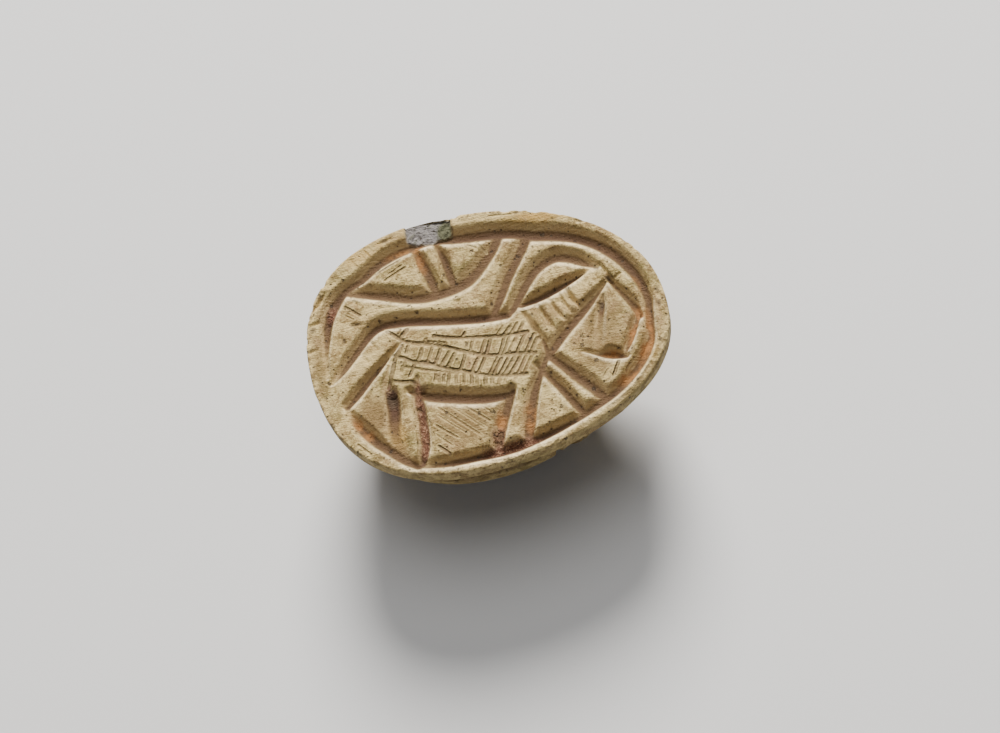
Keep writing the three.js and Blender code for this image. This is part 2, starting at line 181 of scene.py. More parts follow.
# The carving, in millimetres on a plate of drawnSize. A station is x, y, width
# and the share of the full groove depth.
drawnSize = (17.5, 13.4)
drawingMiddle = (0.01, -0.345)
carving = {
    "borderTop": [(-7.88, -0.9, 0.3, 0.3), (-7.85, 0.2, 0.45, 0.6), (-7.72, 1.2, 0.6, 0.9),
                  (-7.5, 2.2, 0.75, 1.15), (-7.05, 3.05, 0.9, 1.1), (-6.45, 3.62, 0.75, 1),
                  (-5.6, 4.05, 0.8, 1), (-4.8, 4.6, 0.85, 1), (-4, 4.95, 0.9, 1), (-3, 5.2, 0.85, 1),
                  (-2, 5.32, 0.75, 1), (-0.8, 5.22, 0.95, 1.05), (0, 5.15, 1, 1.1), (1, 5.05, 1, 1.1),
                  (2, 4.88, 0.95, 1.1), (3, 4.55, 1.05, 1.1), (4, 4.32, 1.05, 1.1), (5, 3.95, 0.9, 1.1),
                  (5.9, 3.4, 0.9, 1.1), (6.6, 2.75, 0.9, 1.1), (7.2, 1.95, 0.85, 1.1), (7.65, 1, 0.7, 1.1),
                  (7.85, 0, 0.65, 1), (7.8, -0.8, 0.6, 1), (7.74, -1.5, 0.55, 1), (7.65, -2.05, 0.6, 1),
                  (7.38, -2.6, 0.7, 1), (6.98, -3.18, 0.72, 1), (6.45, -3.72, 0.72, 1),
                  (5.85, -4.22, 0.72, 1), (5.2, -4.62, 0.72, 1), (4.4, -5, 0.7, 1), (3.5, -5.42, 0.6, 1),
                  (2.5, -5.75, 0.65, 1.1), (1.5, -6, 0.75, 1.2), (0.5, -6.2, 0.78, 1.25),
                  (-0.5, -6.3, 0.75, 1.25), (-1.5, -6.33, 0.7, 1.1), (-2.5, -6.35, 0.68, 1),
                  (-3.4, -6.3, 0.62, 0.8), (-4.1, -6.25, 0.5, 0.6)],
    "borderCorner": [(-7.15, -2.75, 0.35, 0.4), (-6.75, -3.55, 0.72, 0.9), (-6.1, -4.45, 0.8, 1),
                     (-5.45, -5.1, 0.8, 1), (-4.85, -5.7, 0.75, 1), (-4.2, -6.2, 0.6, 1)],
    "backChannel": [(-7.75, -1.25, 0.3, 0.4), (-7.15, -0.62, 0.6, 0.85), (-6.6, 0, 0.7, 1),
                    (-6, 0.65, 0.72, 1), (-5.5, 1.12, 0.78, 1.1), (-4.95, 1.36, 0.82, 1.1),
                    (-4.3, 1.38, 0.88, 1.1), (-3.5, 1.3, 0.88, 1.1), (-2.5, 1.1, 0.86, 1.05),
                    (-1.5, 0.92, 0.86, 1.05), (-0.5, 0.77, 0.86, 1.1), (0.3, 0.68, 0.85, 1.1),
                    (1.1, 0.62, 0.75, 1)],
    "leftOfHorn": [(0.45, 0.8, 0.7, 1), (0.9, 1.6, 0.78, 1), (1.3, 2.35, 0.8, 1),
                   (1.72, 3.02, 0.82, 1), (2.2, 3.75, 0.86, 1), (2.6, 4.45, 0.9, 1)],
    "upperChannel": [(-6.35, 3.42, 0.6, 0.8), (-5.5, 3.2, 0.8, 0.95), (-4.5, 2.9, 0.92, 1),
                     (-3.5, 2.56, 0.96, 1), (-2.7, 2.42, 1, 1), (-1.9, 2.45, 1, 1), (-1.1, 2.6, 1.05, 1),
                     (-0.45, 2.88, 1.08, 1), (0.12, 3.35, 1, 1), (0.68, 3.95, 0.9, 1),
                     (1.05, 4.45, 0.85, 1), (1.35, 4.95, 0.8, 1)],
    "firstUpperCut": [(-2.85, 4.98, 0.45, 0.8), (-2.58, 4.3, 0.76, 1.05), (-2.35, 3.55, 0.82, 1.05),
                      (-2.15, 2.7, 0.8, 0.95)],
    "secondUpperCut": [(-1.78, 5.15, 0.3, 0.8), (-1.5, 4.3, 0.6, 1.05), (-1.35, 3.5, 0.7, 1.05),
                       (-1.22, 2.75, 0.74, 0.95)],
    "insideHorn": [(1.35, 0.75, 0.6, 1), (1.88, 1.5, 0.75, 1), (2.32, 2.12, 0.8, 1),
                   (2.85, 2.68, 0.86, 1), (3.5, 3.02, 0.9, 1), (4.1, 3.08, 0.9, 1), (4.7, 2.85, 0.86, 1),
                   (5.2, 2.52, 0.75, 0.9), (5.8, 2.12, 0.4, 0.6)],
    "aboveNeck": [(1.9, 0.95, 0.55, 1), (2.7, 1.12, 0.66, 1.1), (3.5, 1.36, 0.66, 1.1),
                  (4.2, 1.62, 0.6, 1), (4.8, 1.82, 0.42, 0.85), (5.4, 2.02, 0.2, 0.4)],
    "belowNeck": [(6.05, 1.2, 0.25, 0.7), (5.5, 0.7, 0.5, 0.8), (4.9, 0.18, 0.72, 0.95),
                  (4.3, -0.35, 0.78, 1), (3.7, -0.87, 0.8, 1), (3.2, -1.38, 0.8, 1),
                  (2.7, -1.95, 0.72, 0.9)],
    "shoulder": [(1.95, 0.4, 0.26, 0.6), (2.3, -0.4, 0.36, 0.8), (2.62, -1.2, 0.42, 0.9),
                 (2.72, -1.9, 0.5, 1)],
    "cheek": [(6.2, 1.45, 0.35, 1), (6.55, 0.8, 0.45, 0.9), (6.92, 0.2, 0.6, 0.9),
              (7.2, -0.35, 0.62, 1), (7.35, -0.85, 0.5, 1)],
    "frontEdge": [(7.3, -0.7, 0.45, 0.9), (7.02, -1.28, 0.5, 0.9), (6.75, -1.85, 0.5, 0.9),
                  (6.45, -2.38, 0.42, 0.8), (6.2, -2.8, 0.2, 0.4)],
    "frontHollow": [(5.78, 0.5, 0.24, 0.6), (5.62, 0, 0.5, 0.9), (5.45, -0.6, 0.65, 0.65),
                    (5.3, -1.3, 0.75, 0.45), (5.15, -2.0, 0.75, 0.35)],
    "frontNotch": [(4.3, -2.13, 0.15, 0.3), (5, -2.35, 0.42, 0.7), (5.6, -2.5, 0.7, 1.1),
                   (6.1, -2.66, 0.6, 1), (6.4, -2.8, 0.35, 0.7)],
    "chestRight": [(2.8, -1.95, 0.65, 1), (3.35, -2.58, 0.76, 1), (3.95, -3.32, 0.84, 1),
                   (4.5, -3.94, 0.9, 1), (4.98, -4.55, 0.95, 1)],
    "chestLeft": [(2.2, -2.4, 0.5, 0.9), (2.8, -3.3, 0.6, 0.95), (3.3, -4.12, 0.66, 1),
                  (3.85, -5.05, 0.7, 1)],
    "frontLegRight": [(2.7, -1.75, 0.45, 0.9), (2.42, -2.3, 0.55, 0.95), (2.15, -2.8, 0.55, 0.95),
                      (1.78, -3.55, 0.72, 1), (1.52, -4.3, 0.8, 1),
                      (1.32, -5, 0.85, 1.05), (1.15, -5.75, 0.8, 1.1)],
    "frontLegLeft": [(0.72, -3.35, 0.6, 1), (0.35, -4.1, 0.78, 1), (0.05, -4.8, 0.78, 1),
                     (-0.2, -5.45, 0.78, 1.05), (-0.35, -6.05, 0.75, 1.1)],
    "belly": [(-4.05, -2.35, 0.45, 0.9), (-3.2, -2.75, 0.88, 1.05), (-2.2, -3.05, 0.95, 1.05),
              (-1.2, -3.3, 0.95, 1.05), (-0.3, -3.46, 0.9, 1.05), (0.6, -3.5, 0.75, 1)],
    "hindLegLeft": [(-4.72, -0.62, 0.15, 0.3), (-5.02, -1.3, 0.26, 0.5), (-5.1, -1.9, 0.6, 0.9),
                    (-5.0, -2.5, 0.88, 1.35), (-5.0, -3.2, 0.95, 1.2), (-5.1, -4.1, 1.1, 0.8),
                    (-5.05, -4.9, 1.1, 0.7), (-4.7, -5.7, 0.85, 0.8)],
    "hindLegRight": [(-3.6, -1.75, 0.2, 0.5), (-3.76, -2.4, 0.55, 1), (-3.7, -3.3, 0.66, 1.1),
                     (-3.7, -4.3, 0.66, 1.1), (-3.76, -5.3, 0.62, 1.1), (-4, -6.1, 0.55, 1.1)],
    "belowTail": [(-4.1, 0.2, 0.14, 0.35), (-4.7, -0.25, 0.32, 0.7), (-5.3, -0.78, 0.48, 0.95),
                  (-6, -1.4, 0.6, 1), (-6.6, -1.98, 0.66, 1), (-7.15, -2.5, 0.55, 0.9)],
}

# Lines scratched along the body: width, strength and stations of x and y
bodyLines = {
    "first": (0.26, 1, [(-2.57, 0.17), (-2.07, -0.03), (-1.4, -0.2), (-0.73, -0.33), (-0.07, -0.45),
                        (0.93, -0.58), (2.1, -0.62)]),
    "firstTwin": (0.18, 0.6, [(-3.15, -0.03), (-2.57, -0.16), (-1.9, -0.37)]),
    "second": (0.28, 1, [(-3.98, 0.17), (-3.32, -0.08), (-2.65, -0.28), (-1.98, -0.58), (-1.23, -0.95),
                         (-0.48, -1.28), (0.27, -1.49), (1.18, -1.62), (2.3, -1.8)]),
    "third": (0.26, 1, [(-4.65, -0.41), (-4.15, -0.66), (-3.65, -0.99), (-3.07, -1.16), (-2.57, -1.45),
                        (-2.07, -1.7), (-1.4, -1.95), (-0.73, -2.24), (-0.07, -2.49), (0.77, -2.66),
                        (1.68, -2.78)]),
    "thirdTwin": (0.2, 0.75, [(-4.32, -1.08), (-3.73, -1.28), (-3.23, -1.49), (-2.65, -1.7),
                              (-2.07, -1.87), (-1.57, -1.99)]),
    "haunch": (0.28, 0.9, [(-4.07, 0.05), (-4.48, -0.53), (-4.73, -1.2), (-4.9, -1.62), (-5.07, -1.95)]),
    "rumpFoot": (0.24, 0.9, [(-4.78, -1.74), (-4.32, -1.91), (-3.73, -1.99)]),
    "rump": (0.3, 0.9, [(-4.78, 0.93), (-4.23, 0.43), (-3.98, 0.17)]),
    "rumpTwin": (0.3, 0.9, [(-3.69, 0.84), (-4.15, 0.38)]),
}
# Short lines across the body, from one point to another
crossings = [
    (0.81, -0.08, 0.43, -0.5), (1.18, -0.16, 0.77, -0.58), (1.52, -0.08, 1.14, -0.55),
    (1.85, -0.12, 1.52, -0.58), (-1.0, 0.0, -1.2, -0.25), (-0.07, -0.55, -0.4, -1.25),
    (0.14, -0.6, -0.19, -1.35), (0.81, -0.6, 0.43, -1.5), (1.05, -0.65, 0.62, -1.5),
    (1.52, -0.65, 0.89, -1.55), (1.85, -0.65, 1.27, -1.6), (2.27, -0.74, 1.68, -1.68),
    (2.43, -0.95, 1.98, -1.7), (-2.9, 0.1, -3.05, -0.2), (-2.3, -0.2, -2.5, -0.4),
    (-0.7, -0.5, -0.9, -1.05), (-3.19, -0.41, -3.44, -0.95), (-2.69, -0.45, -3.07, -1.2),
    (-1.82, -0.78, -2.4, -1.5), (-1.6, -0.9, -2.15, -1.65), (-2.3, -0.6, -2.7, -1.35),
    (-0.48, -1.35, -0.94, -2.05), (-0.23, -1.45, -0.65, -2.15), (-1.15, -1.1, -1.5, -1.85),
    (0.35, -1.6, -0.19, -2.4), (0.56, -1.65, 0.02, -2.45), (0.9, -1.65, 0.3, -2.5),
    (1.18, -1.7, 0.48, -2.6), (1.45, -1.75, 0.75, -2.65), (1.7, -1.8, 1.02, -2.87),
    (2.0, -1.85, 1.45, -2.7), (-3.6, -1.0, -3.95, -1.65), (-4.0, -0.75, -4.3, -1.3),
    (-2.69, -1.78, -2.8, -2.15), (-2.5, -1.87, -2.6, -2.25), (-2.28, -1.9, -2.38, -2.3),
    (-2.07, -1.9, -2.2, -2.45), (-1.7, -2.0, -1.8, -2.55), (-1.36, -2.05, -1.44, -2.6),
    (-1.03, -2.2, -1.1, -2.7), (-0.75, -2.3, -0.82, -2.75), (-0.36, -2.45, -0.42, -2.85),
    (-0.05, -2.5, -0.12, -2.9), (0.3, -2.65, 0.18, -2.98), (0.6, -2.7, 0.5, -3.0),
    (-4.15, -0.2, -4.35, -0.45), (-3.75, 0.0, -3.95, -0.45),
]
# Broad shallow cuts across the neck, the horn's tip and the rump
softCuts = [
    [(2.6, 0.75, 0.3, 0.5), (2.85, 0.1, 0.42, 0.75), (3.2, -0.7, 0.34, 0.5)],
    [(3.22, 0.9, 0.3, 0.5), (3.42, 0.3, 0.36, 0.75), (3.78, -0.3, 0.3, 0.45)],
    [(3.72, 1.0, 0.26, 0.45), (3.88, 0.55, 0.28, 0.6), (4.15, 0.0, 0.26, 0.4)],
    [(4.12, 1.2, 0.32, 0.6), (4.28, 0.75, 0.42, 0.95), (4.55, 0.25, 0.32, 0.6)],
    [(5.9, 2.2, 0.24, 0.4), (6.12, 1.75, 0.36, 0.6), (6.3, 1.2, 0.36, 0.7)],
    [(6.3, 1.2, 0.2, 0.3), (6.65, 1.35, 0.2, 0.35), (6.95, 1.55, 0.16, 0.2)],
    [(3.62, 0.66, 0.26, 0.3), (3.7, 0.62, 0.26, 0.3)], [(3.62, 0.0, 0.24, 0.3), (3.7, -0.04, 0.24, 0.3)],
    [(-5.62, 0.5, 0.2, 0.3), (-5.3, 0.05, 0.2, 0.3)], [(-6.2, 0.0, 0.16, 0.2), (-5.85, -0.5, 0.16, 0.2)],
]
# Notches and pits with some depth
notches = [
    [(-8.2, 2.7, 0.2, 0.2), (-7.8, 3.1, 0.34, 0.5), (-7.4, 3.6, 0.2, 0.2)],
    [(-8.4, 1.95, 0.24, 0.2), (-7.95, 2.1, 0.34, 0.45)], [(-8.65, 0.6, 0.3, 0.3), (-8.2, 0.65, 0.24, 0.2)],
    [(-6.5, 1.62, 0.14, 0.1), (-6.2, 1.58, 0.24, 0.35), (-5.6, 1.45, 0.12, 0.1)],
    [(-6.95, 1.0, 0.2, 0.25), (-6.8, 0.7, 0.24, 0.35)], [(-6.1, 2.78, 0.16, 0.3), (-5.95, 2.7, 0.2, 0.4)],
    [(-7.2, 1.3, 0.12, 0.25), (-7.1, 1.32, 0.12, 0.25)], [(-4.5, 5.62, 0.2, 0.2), (-3.9, 5.75, 0.3, 0.3)],
    [(2.3, 5.8, 0.25, 0.3), (2.55, 5.8, 0.25, 0.3)], [(5.2, 4.72, 0.2, 0.25), (5.6, 4.6, 0.25, 0.3)],
    [(7.15, 3.25, 0.2, 0.3), (7.45, 3.1, 0.25, 0.3)], [(-1.3, 1.75, 0.2, 0.2), (-1.05, 1.7, 0.25, 0.3)],
    [(2.0, -6.95, 0.16, 0.3), (2.5, -6.4, 0.16, 0.3)], [(5.9, -0.5, 0.2, 0.06), (6.3, -1.3, 0.3, 0.08)],
]
# Stray scratches: two ends, width and strength
strayCuts = [
    [(-2.9, -3.5), (-1, -5.4), 0.16, 0.4], [(-1.65, -3.7), (-0.45, -4.8), 0.16, 0.5],
    [(-3.1, -4.4), (-2.1, -5.3), 0.16, 0.55], [(-3.1, -5.5), (-2.6, -6.0), 0.2, 0.8],
    [(-2.3, -3.55), (-0.75, -5.1), 0.13, 0.3], [(-2.9, -3.95), (-1.6, -5.2), 0.13, 0.35],
    [(-3.1, -4.9), (-2.4, -5.65), 0.14, 0.4], [(-0.9, -3.8), (-0.3, -4.35), 0.14, 0.4],
    [(6.0, -3.0), (5.6, -3.75), 0.2, 0.9], [(5.45, -3.3), (5.1, -3.8), 0.14, 0.4],
    [(-6.6, 2.65), (-5.85, 1.95), 0.2, 0.8], [(-6.65, 2.2), (-6.2, 1.85), 0.14, 0.5],
    [(-4.9, 4.0), (-3.5, 4.55), 0.16, 0.6], [(-4.5, 3.55), (-3.3, 4.1), 0.18, 0.6],
    [(-4.3, 3.85), (-3.5, 4.25), 0.14, 0.5], [(-0.4, 4.75), (0.25, 4.3), 0.16, 0.5],
    [(0.2, 4.7), (0.62, 4.15), 0.16, 0.5], [(6.6, -3.1), (6.2, -3.6), 0.14, 0.4],
    [(5.05, -5.35), (6.4, -4.6), 0.3, 0.3], [(6.5, -4.5), (7.5, -3.4), 0.3, 0.4],
    [(7.6, -3.3), (8.4, -2.2), 0.3, 0.3], [(3.4, -6.1), (4.8, -5.6), 0.25, 0.25],
    [(-0.8, -6.75), (0.4, -6.95), 0.16, 0.5], [(-6.9, -4.6), (-6.3, -5.3), 0.16, 0.5],
    [(1.0, 5.9), (2.2, 5.75), 0.16, 0.4],
    [(-5.2, 2.2), (-3.9, 2.05), 0.14, 0.25], [(-2.9, 2.0), (-1.9, 1.55), 0.13, 0.25],
]
# Short strokes side by side across the rim at the upper left: start, end, how many
rimStrokes = [(-6.5, 4.4), (-4.9, 5.4), 8]


def onPlate(x, y):
    return ((np.asarray(x) - drawingMiddle[0]) * length / drawnSize[0],
            (np.asarray(y) - drawingMiddle[1]) * width / drawnSize[1])


class Raster:
    # a flat field of depths over the plate, cut by strokes and read back between its points
    def __init__(self, step):
        self.step = step
        self.x = np.arange(-length / 2 - 0.6, length / 2 + 0.6, step)
        self.y = np.arange(-width / 2 - 0.6, width / 2 + 0.6, step)
        self.depth = np.zeros((len(self.x), len(self.y)))

    def cut(self, stations, floorShare=0.26, steps=8):
        # each short span lowers the field to the deepest of what is there and its own cut,
        # with a flat floor and straight walls
        run = smoothRun(stations, steps)
        px, py = onPlate(run[:, 0], run[:, 1])
        for k in range(len(run) - 1):
            a, b = np.array([px[k], py[k]]), np.array([px[k + 1], py[k + 1]])
            reach = max(run[k, 2], run[k + 1, 2]) / 2 + self.step
            i0, i1 = np.searchsorted(self.x, (min(a[0], b[0]) - reach, max(a[0], b[0]) + reach))
            j0, j1 = np.searchsorted(self.y, (min(a[1], b[1]) - reach, max(a[1], b[1]) + reach))
            gx, gy = self.x[i0:i1, None], self.y[None, j0:j1]
            span = b - a
            size = max(span @ span, 1e-9)
            t = np.clip(((gx - a[0]) * span[0] + (gy - a[1]) * span[1]) / size, 0, 1)
            away = np.hypot(gx - a[0] - t * span[0], gy - a[1] - t * span[1])
            half = mix(run[k, 2], run[k + 1, 2], t) / 2
            full = mix(run[k, 3], run[k + 1, 3], t)
            wall = np.clip((1 - away / half) / (1 - floorShare), 0, 1)
            part = self.depth[i0:i1, j0:j1]
            np.maximum(part, wall * full, out=part)

    def blurred(self, radius):
        # a bell-shaped average along x and then along y
        reach = max(1, int(3 * radius / self.step))
        bell = np.exp(-0.5 * (np.arange(-reach, reach + 1) * self.step / radius) ** 2)
        bell /= bell.sum()
        field = np.pad(self.depth, reach, mode="edge")
        field = sum(w * field[k:k + len(self.x), :] for k, w in enumerate(bell))
        return sum(w * field[:, k:k + len(self.y)] for k, w in enumerate(bell))

    def read(self, field, x, y):
        # straight blending between the four nearest points
        i = np.clip((x - self.x[0]) / self.step, 0, len(self.x) - 1.001)
        j = np.clip((y - self.y[0]) / self.step, 0, len(self.y) - 1.001)
        i0, j0 = i.astype(int), j.astype(int)
        u, v = i - i0, j - j0
        return (field[i0, j0] * (1 - u) * (1 - v) + field[i0 + 1, j0] * u * (1 - v)
                + field[i0, j0 + 1] * (1 - u) * v + field[i0 + 1, j0 + 1] * u * v)


def fineLines():
    # the lines on the body, the stray cuts and the strokes on the rim, as stations of x, y,
    # width and strength; each short one bows a little
    rng = np.random.default_rng(7)
    lines = []
    for size, share, points in bodyLines.values():
        lines.append([(x, y, size * rng.uniform(0.85, 1.15), share * rng.uniform(0.8, 1))
                      for x, y in points])
    short = [((mix(x0, x1, -0.1), mix(y0, y1, -0.1)), (mix(x0, x1, 1.1), mix(y0, y1, 1.1)),
              rng.uniform(0.18, 0.26), rng.uniform(0.45, 0.85)) for x0, y0, x1, y1 in crossings]
    short += strayCuts
    start, end, many = rimStrokes
    for t in np.linspace(0, 1, many):
        x, y = mix(start[0], end[0], t), mix(start[1], end[1], t)
        short.append([(x + 0.16, y - 0.24), (x - 0.16, y + 0.24), 0.18, rng.uniform(0.1, 0.3)])
    for (x0, y0), (x1, y1), size, share in short:
        bend = rng.uniform(-0.04, 0.04)
        lines.append([(mix(x0, x1, t) + bend * math.sin(3 * t), mix(y0, y1, t), size, share)
                      for t in (0, 0.5, 1)])
    return lines


def tapered(stations, steps):
    # the run through the stations, with its strength falling away over the last 0.07 mm
    run = smoothRun(stations, steps)
    walked = np.concatenate([[0], np.cumsum(np.hypot(*np.diff(run[:, :2], axis=0).T))])
    run[:, 3] *= np.clip(np.minimum(walked, walked[-1] - walked) / 0.07 + 0.1, 0, 1)
    return run


def carveFace(lines):
    # two fields of depth: the deep strokes with worn lips, and the shallow cuts, sharper
    deep = stone["grooveDepth"]
    carved = Raster(stone["rasterStep"])
    scratched = Raster(stone["rasterStep"])
    for stations in carving.values():
        carved.cut([(x, y, w * stone["strokeWidening"], share * deep) for x, y, w, share in stations])
    for stations in softCuts + notches:
        scratched.cut([(x, y, w, share * deep) for x, y, w, share in stations], 0.15, 4)
    for stations in lines:
        run = tapered(stations, 5) * (1, 1, 1, stone["lineDepth"])
        scratched.cut(run, 0.1, 1)
    print("carving: %d strokes and %d fine lines" % (len(carving), len(lines)))
    return carved, scratched


def lineMask(points, lines):
    # the most of 1 - gap^2 over all lines, with the gap to a line in its half widths; inside a
    # line it is multiplied by the line's strength
    mask = np.full(len(points), -1.5)
    for stations in lines:
        run = tapered(stations, 5)
        place = np.stack(onPlate(run[:, 0], run[:, 1]), -1)
        for k in range(len(run) - 1):
            span = place[k + 1] - place[k]
            size = max(span @ span, 1e-9)
            off = points[:, :2] - place[k]
            t = np.clip(off @ span / size, 0, 1)
            half = mix(run[k, 2], run[k + 1, 2], t) / 2
            gap = np.hypot(off[:, 0] - t * span[0], off[:, 1] - t * span[1]) / half
            strength = mix(run[k, 3], run[k + 1, 3], t)
            mask = np.maximum(mask, (1 - np.minimum(gap, 1.6) ** 2) * np.where(gap < 1, strength, 1))
    return mask


# The stone as one closed mesh

back = {
    "middle": -stone["headSetback"] / 2,
    "halfLength": length / 2 - stone["wingInset"] - stone["headSetback"] / 2,
    "halfWidth": width / 2 - stone["wingInset"],
    "planPower": 2.15,
    "risePower": 2.2,
    "tailFullness": 0.06,
}
flatShare = stone["restLength"] / 2 / back["halfLength"]
flatSquash = stone["restWidth"] / 2 / back["halfWidth"] / flatShare
crownDrop = wingZ / math.sqrt(1 - flatShare ** back["risePower"])
capShare = 0.9


def backHeight(share):
    # a superellipsoid: the drop from the wing edge is (1 - share^2.2)^(1/2)
    z = wingZ - crownDrop * np.sqrt(np.clip(1 - share ** back["risePower"], 0, 1))
    return np.where(share <= flatShare, 0, z)


def backPoint(angle, share):
    x, y = superPoint(angle, back["planPower"])
    squash = mix(flatSquash, 1, (share - flatShare) / (1 - flatShare))
    px = back["middle"] + x * back["halfLength"] * share
    py = y * back["halfWidth"] * share * squash * (1 - back["tailFullness"] * x)
    return np.stack([px, py, backHeight(share) + 0 * px], -1)


# The head from root to nose: along it, how far it has narrowed and how far it has risen
headStations = np.array([(0, 0, 0), (0.3, 0.1, 0.16), (0.55, 0.28, 0.5), (0.8, 0.6, 0.86),
                         (0.94, 0.84, 1), (1, 1, 1.15)])
head = {
    "rootShare": 0.72,
    "nosePower": 14,
    "noseRounding": 0.33,
    "crossPower": 3.2,
    "topInPlate": 0.3,
    "blend": 0.12,
}


def headReach(angle, z):
    # how far the head stands out from the middle, at height z and a direction in plan
    root = back["middle"] + back["halfLength"] * head["rootShare"]
    tip = length / 2 - stone["noseInset"]
    along = np.linspace(0, 1, 160)
    x = mix(root, tip, along)
    narrowing = np.interp(along, headStations[:, 0], headStations[:, 1])
    rise = np.interp(along, headStations[:, 0], headStations[:, 2])
    half = mix(stone["headWidth"], stone["noseWidth"], narrowing) / 2
    half = half * np.clip(1 - along ** head["nosePower"], 0, 1) ** head["noseRounding"]
    under = faceZ - mix(stone["headBelowFace"], stone["noseBelowFace"], rise)
    top = plinthZ + head["topInPlate"]
    share = np.clip(np.abs(z - (under + top) / 2) / ((top - under) / 2), 0, 1)
    y = half * (1 - share ** head["crossPower"]) ** (1 / head["crossPower"])
    inside = y > 0.01
    if not inside.any():
        return np.zeros_like(angle)
    bearing = np.arctan2(y[inside], x[inside])[::-1]
    reach = np.hypot(x[inside], y[inside])[::-1]
    tipX = x[inside].max()
    away = np.abs(np.arctan2(np.sin(angle), np.cos(angle)))
    flat = np.minimum(tipX / np.cos(np.minimum(away, 1)), reach[0])
    return np.where(away < bearing[0], flat, np.where(away > bearing[-1], 0,
                    np.interp(away, bearing, reach)))


def withHead(ring, z):
    # pushes a ring of the body out to the head where the head stands further out, with the
    # greater of both reaches rounded by the root of their squared difference and a little more
    reach = np.hypot(ring[:, 0], ring[:, 1])
    bearing = np.arctan2(ring[:, 1], ring[:, 0])
    goal = headReach(bearing, z)
    grown = 0.5 * (reach + goal + np.sqrt((reach - goal) ** 2 + head["blend"] ** 2))
    grown = np.where(goal > 0.5, np.maximum(grown, reach), reach)
    return np.column_stack([ring[:, :2] * (grown / reach)[:, None], ring[:, 2]])


def discGrid(nu, nv):
    # a square grid pressed to a disc: x = u*sqrt(1 - v*v/2), y = v*sqrt(1 - u*u/2)
    u = np.linspace(-1, 1, nu + 1)[:, None]
    v = np.linspace(-1, 1, nv + 1)[None, :]
    x = (u * np.sqrt(1 - v * v / 2)).ravel()
    y = (v * np.sqrt(1 - u * u / 2)).ravel()
    return np.arctan2(y, x), np.minimum(np.hypot(x, y), 1)


def gridFaces(nu, nv):
    i, j = (a.ravel() for a in np.meshgrid(np.arange(nu), np.arange(nv), indexing="ij"))
    a = i * (nv + 1) + j
    return np.stack([a, a + nv + 1, a + nv + 2, a + 1], 1)


def gridBorder(nu, nv):
    # the border's vertices, anticlockwise from the corner at the low end of both axes
    i, j = np.arange(nu), np.arange(nv)
    return np.concatenate([i * (nv + 1), nu * (nv + 1) + j,
                           (nu - i) * (nv + 1) + nv, nv - j])


faceTurn = 0.4  # how far round the worn edge the face grid reaches


def edgeProfile(angle, turn):
    # a worn quarter round: turn 0 is on the face and 1 on the side
    corner = cornerShare(angle)
    inset = stone["edgeWear"] + stone["cornerBevel"] * corner
    drop = stone["edgeWear"] + stone["cornerDrop"] * corner
    return inset * (1 - np.sin(turn * math.pi / 2)), drop * (1 - np.cos(turn * math.pi / 2))


def facePoints(angle, share):
    # share runs from 0 in the middle to 1 where the worn edge is a little way down
    innerInset = edgeProfile(angle, faceTurn)[0]
    inset = edgeProfile(angle, 0)[0]
    drop = edgeProfile(angle, 1)[1]
    edge = planPoint(angle, innerInset)
    p = edge * share[:, None]
    gap = np.hypot(edge[:, 0], edge[:, 1]) * (1 - share) + innerInset
    down = drop * (1 - np.sqrt(np.clip(1 - np.clip(1 - gap / inset, 0, 1) ** 2, 0, 1)))
    return np.column_stack([p, faceZ - down])


waist = {
    "overhang": (0.35, 0.7, 0.92),
    "top": 0.06,
    "bottom": 0.8,
    "hollow": 0.12,
    "foot": 0.86,
    "footInset": 0.97,
    "bulge": (0.25, 0.6, 0.9),
    "bulgePower": 1.6,
}


def sideRings(angle, fineAngle):
    # rings from the worn edge down the plate, in under it, down the waist and round the back
    fine = []
    for turn in np.linspace(faceTurn, 1, 6)[1:]:
        inset, drop = edgeProfile(fineAngle, turn)
        fine.append(np.column_stack([planPoint(fineAngle, inset), faceZ - drop]))
    coarse = []
    wear = stone["edgeWear"]
    dropEnd = edgeProfile(angle, 1)[1]
    for t in np.linspace(0, 1, 6)[1:]:
        z = mix(faceZ - dropEnd, plinthZ + wear, t)
        coarse.append(np.column_stack([planPoint(angle, 0), z]))
    for turn in (1 / 3, 2 / 3, 1):
        inset = wear * (1 - math.cos(turn * math.pi / 2))
        z = plinthZ + wear * (1 - math.sin(turn * math.pi / 2))
        coarse.append(np.column_stack([planPoint(angle, inset), z + 0 * angle]))
    deep = stone["wingEdgeBelowFace"] - stone["plinthThickness"]
    rim = coarse[-1]
    waistTop = np.column_stack([planPoint(angle, stone["waistInset"]), plinthZ + 0 * angle])
    waistTop = withHead(waistTop, plinthZ)
    for t in waist["overhang"]:
        coarse.append(mix(rim, waistTop, t))
    for t in np.linspace(waist["top"], waist["bottom"], 9):
        z = plinthZ - deep * t
        inset = stone["waistInset"] * (1 + waist["hollow"] * math.sin(math.pi * t / waist["bottom"]))
        ring = np.column_stack([planPoint(angle, inset), z + 0 * angle])
        coarse.append(withHead(ring, z))
    footZ = plinthZ - deep * waist["foot"]
    footPlan = planPoint(angle, stone["waistInset"] * waist["footInset"])
    waistFoot = np.column_stack([footPlan, footZ + 0 * angle])
    wingEdge = backPoint(angle, 1.0)
    for t in waist["bulge"]:
        bulge = mix(waistFoot, wingEdge, t)
        bulge[:, 2] = mix(waistFoot[:, 2], wingEdge[:, 2], t ** waist["bulgePower"])
        coarse.append(withHead(bulge, float(bulge[0, 2])))
    for t in np.linspace(0, 1, 14):
        share = math.cos(mix(0.02, math.acos(capShare), t ** 0.8))
        ring = backPoint(angle, share)
        coarse.append(withHead(ring, float(ring[0, 2])))
    return fine, coarse


def stitch(a, b):
    # quads between an upper ring a and a lower ring b of as many vertices
    return np.stack([b, np.roll(b, -1), np.roll(a, -1), a], 1)


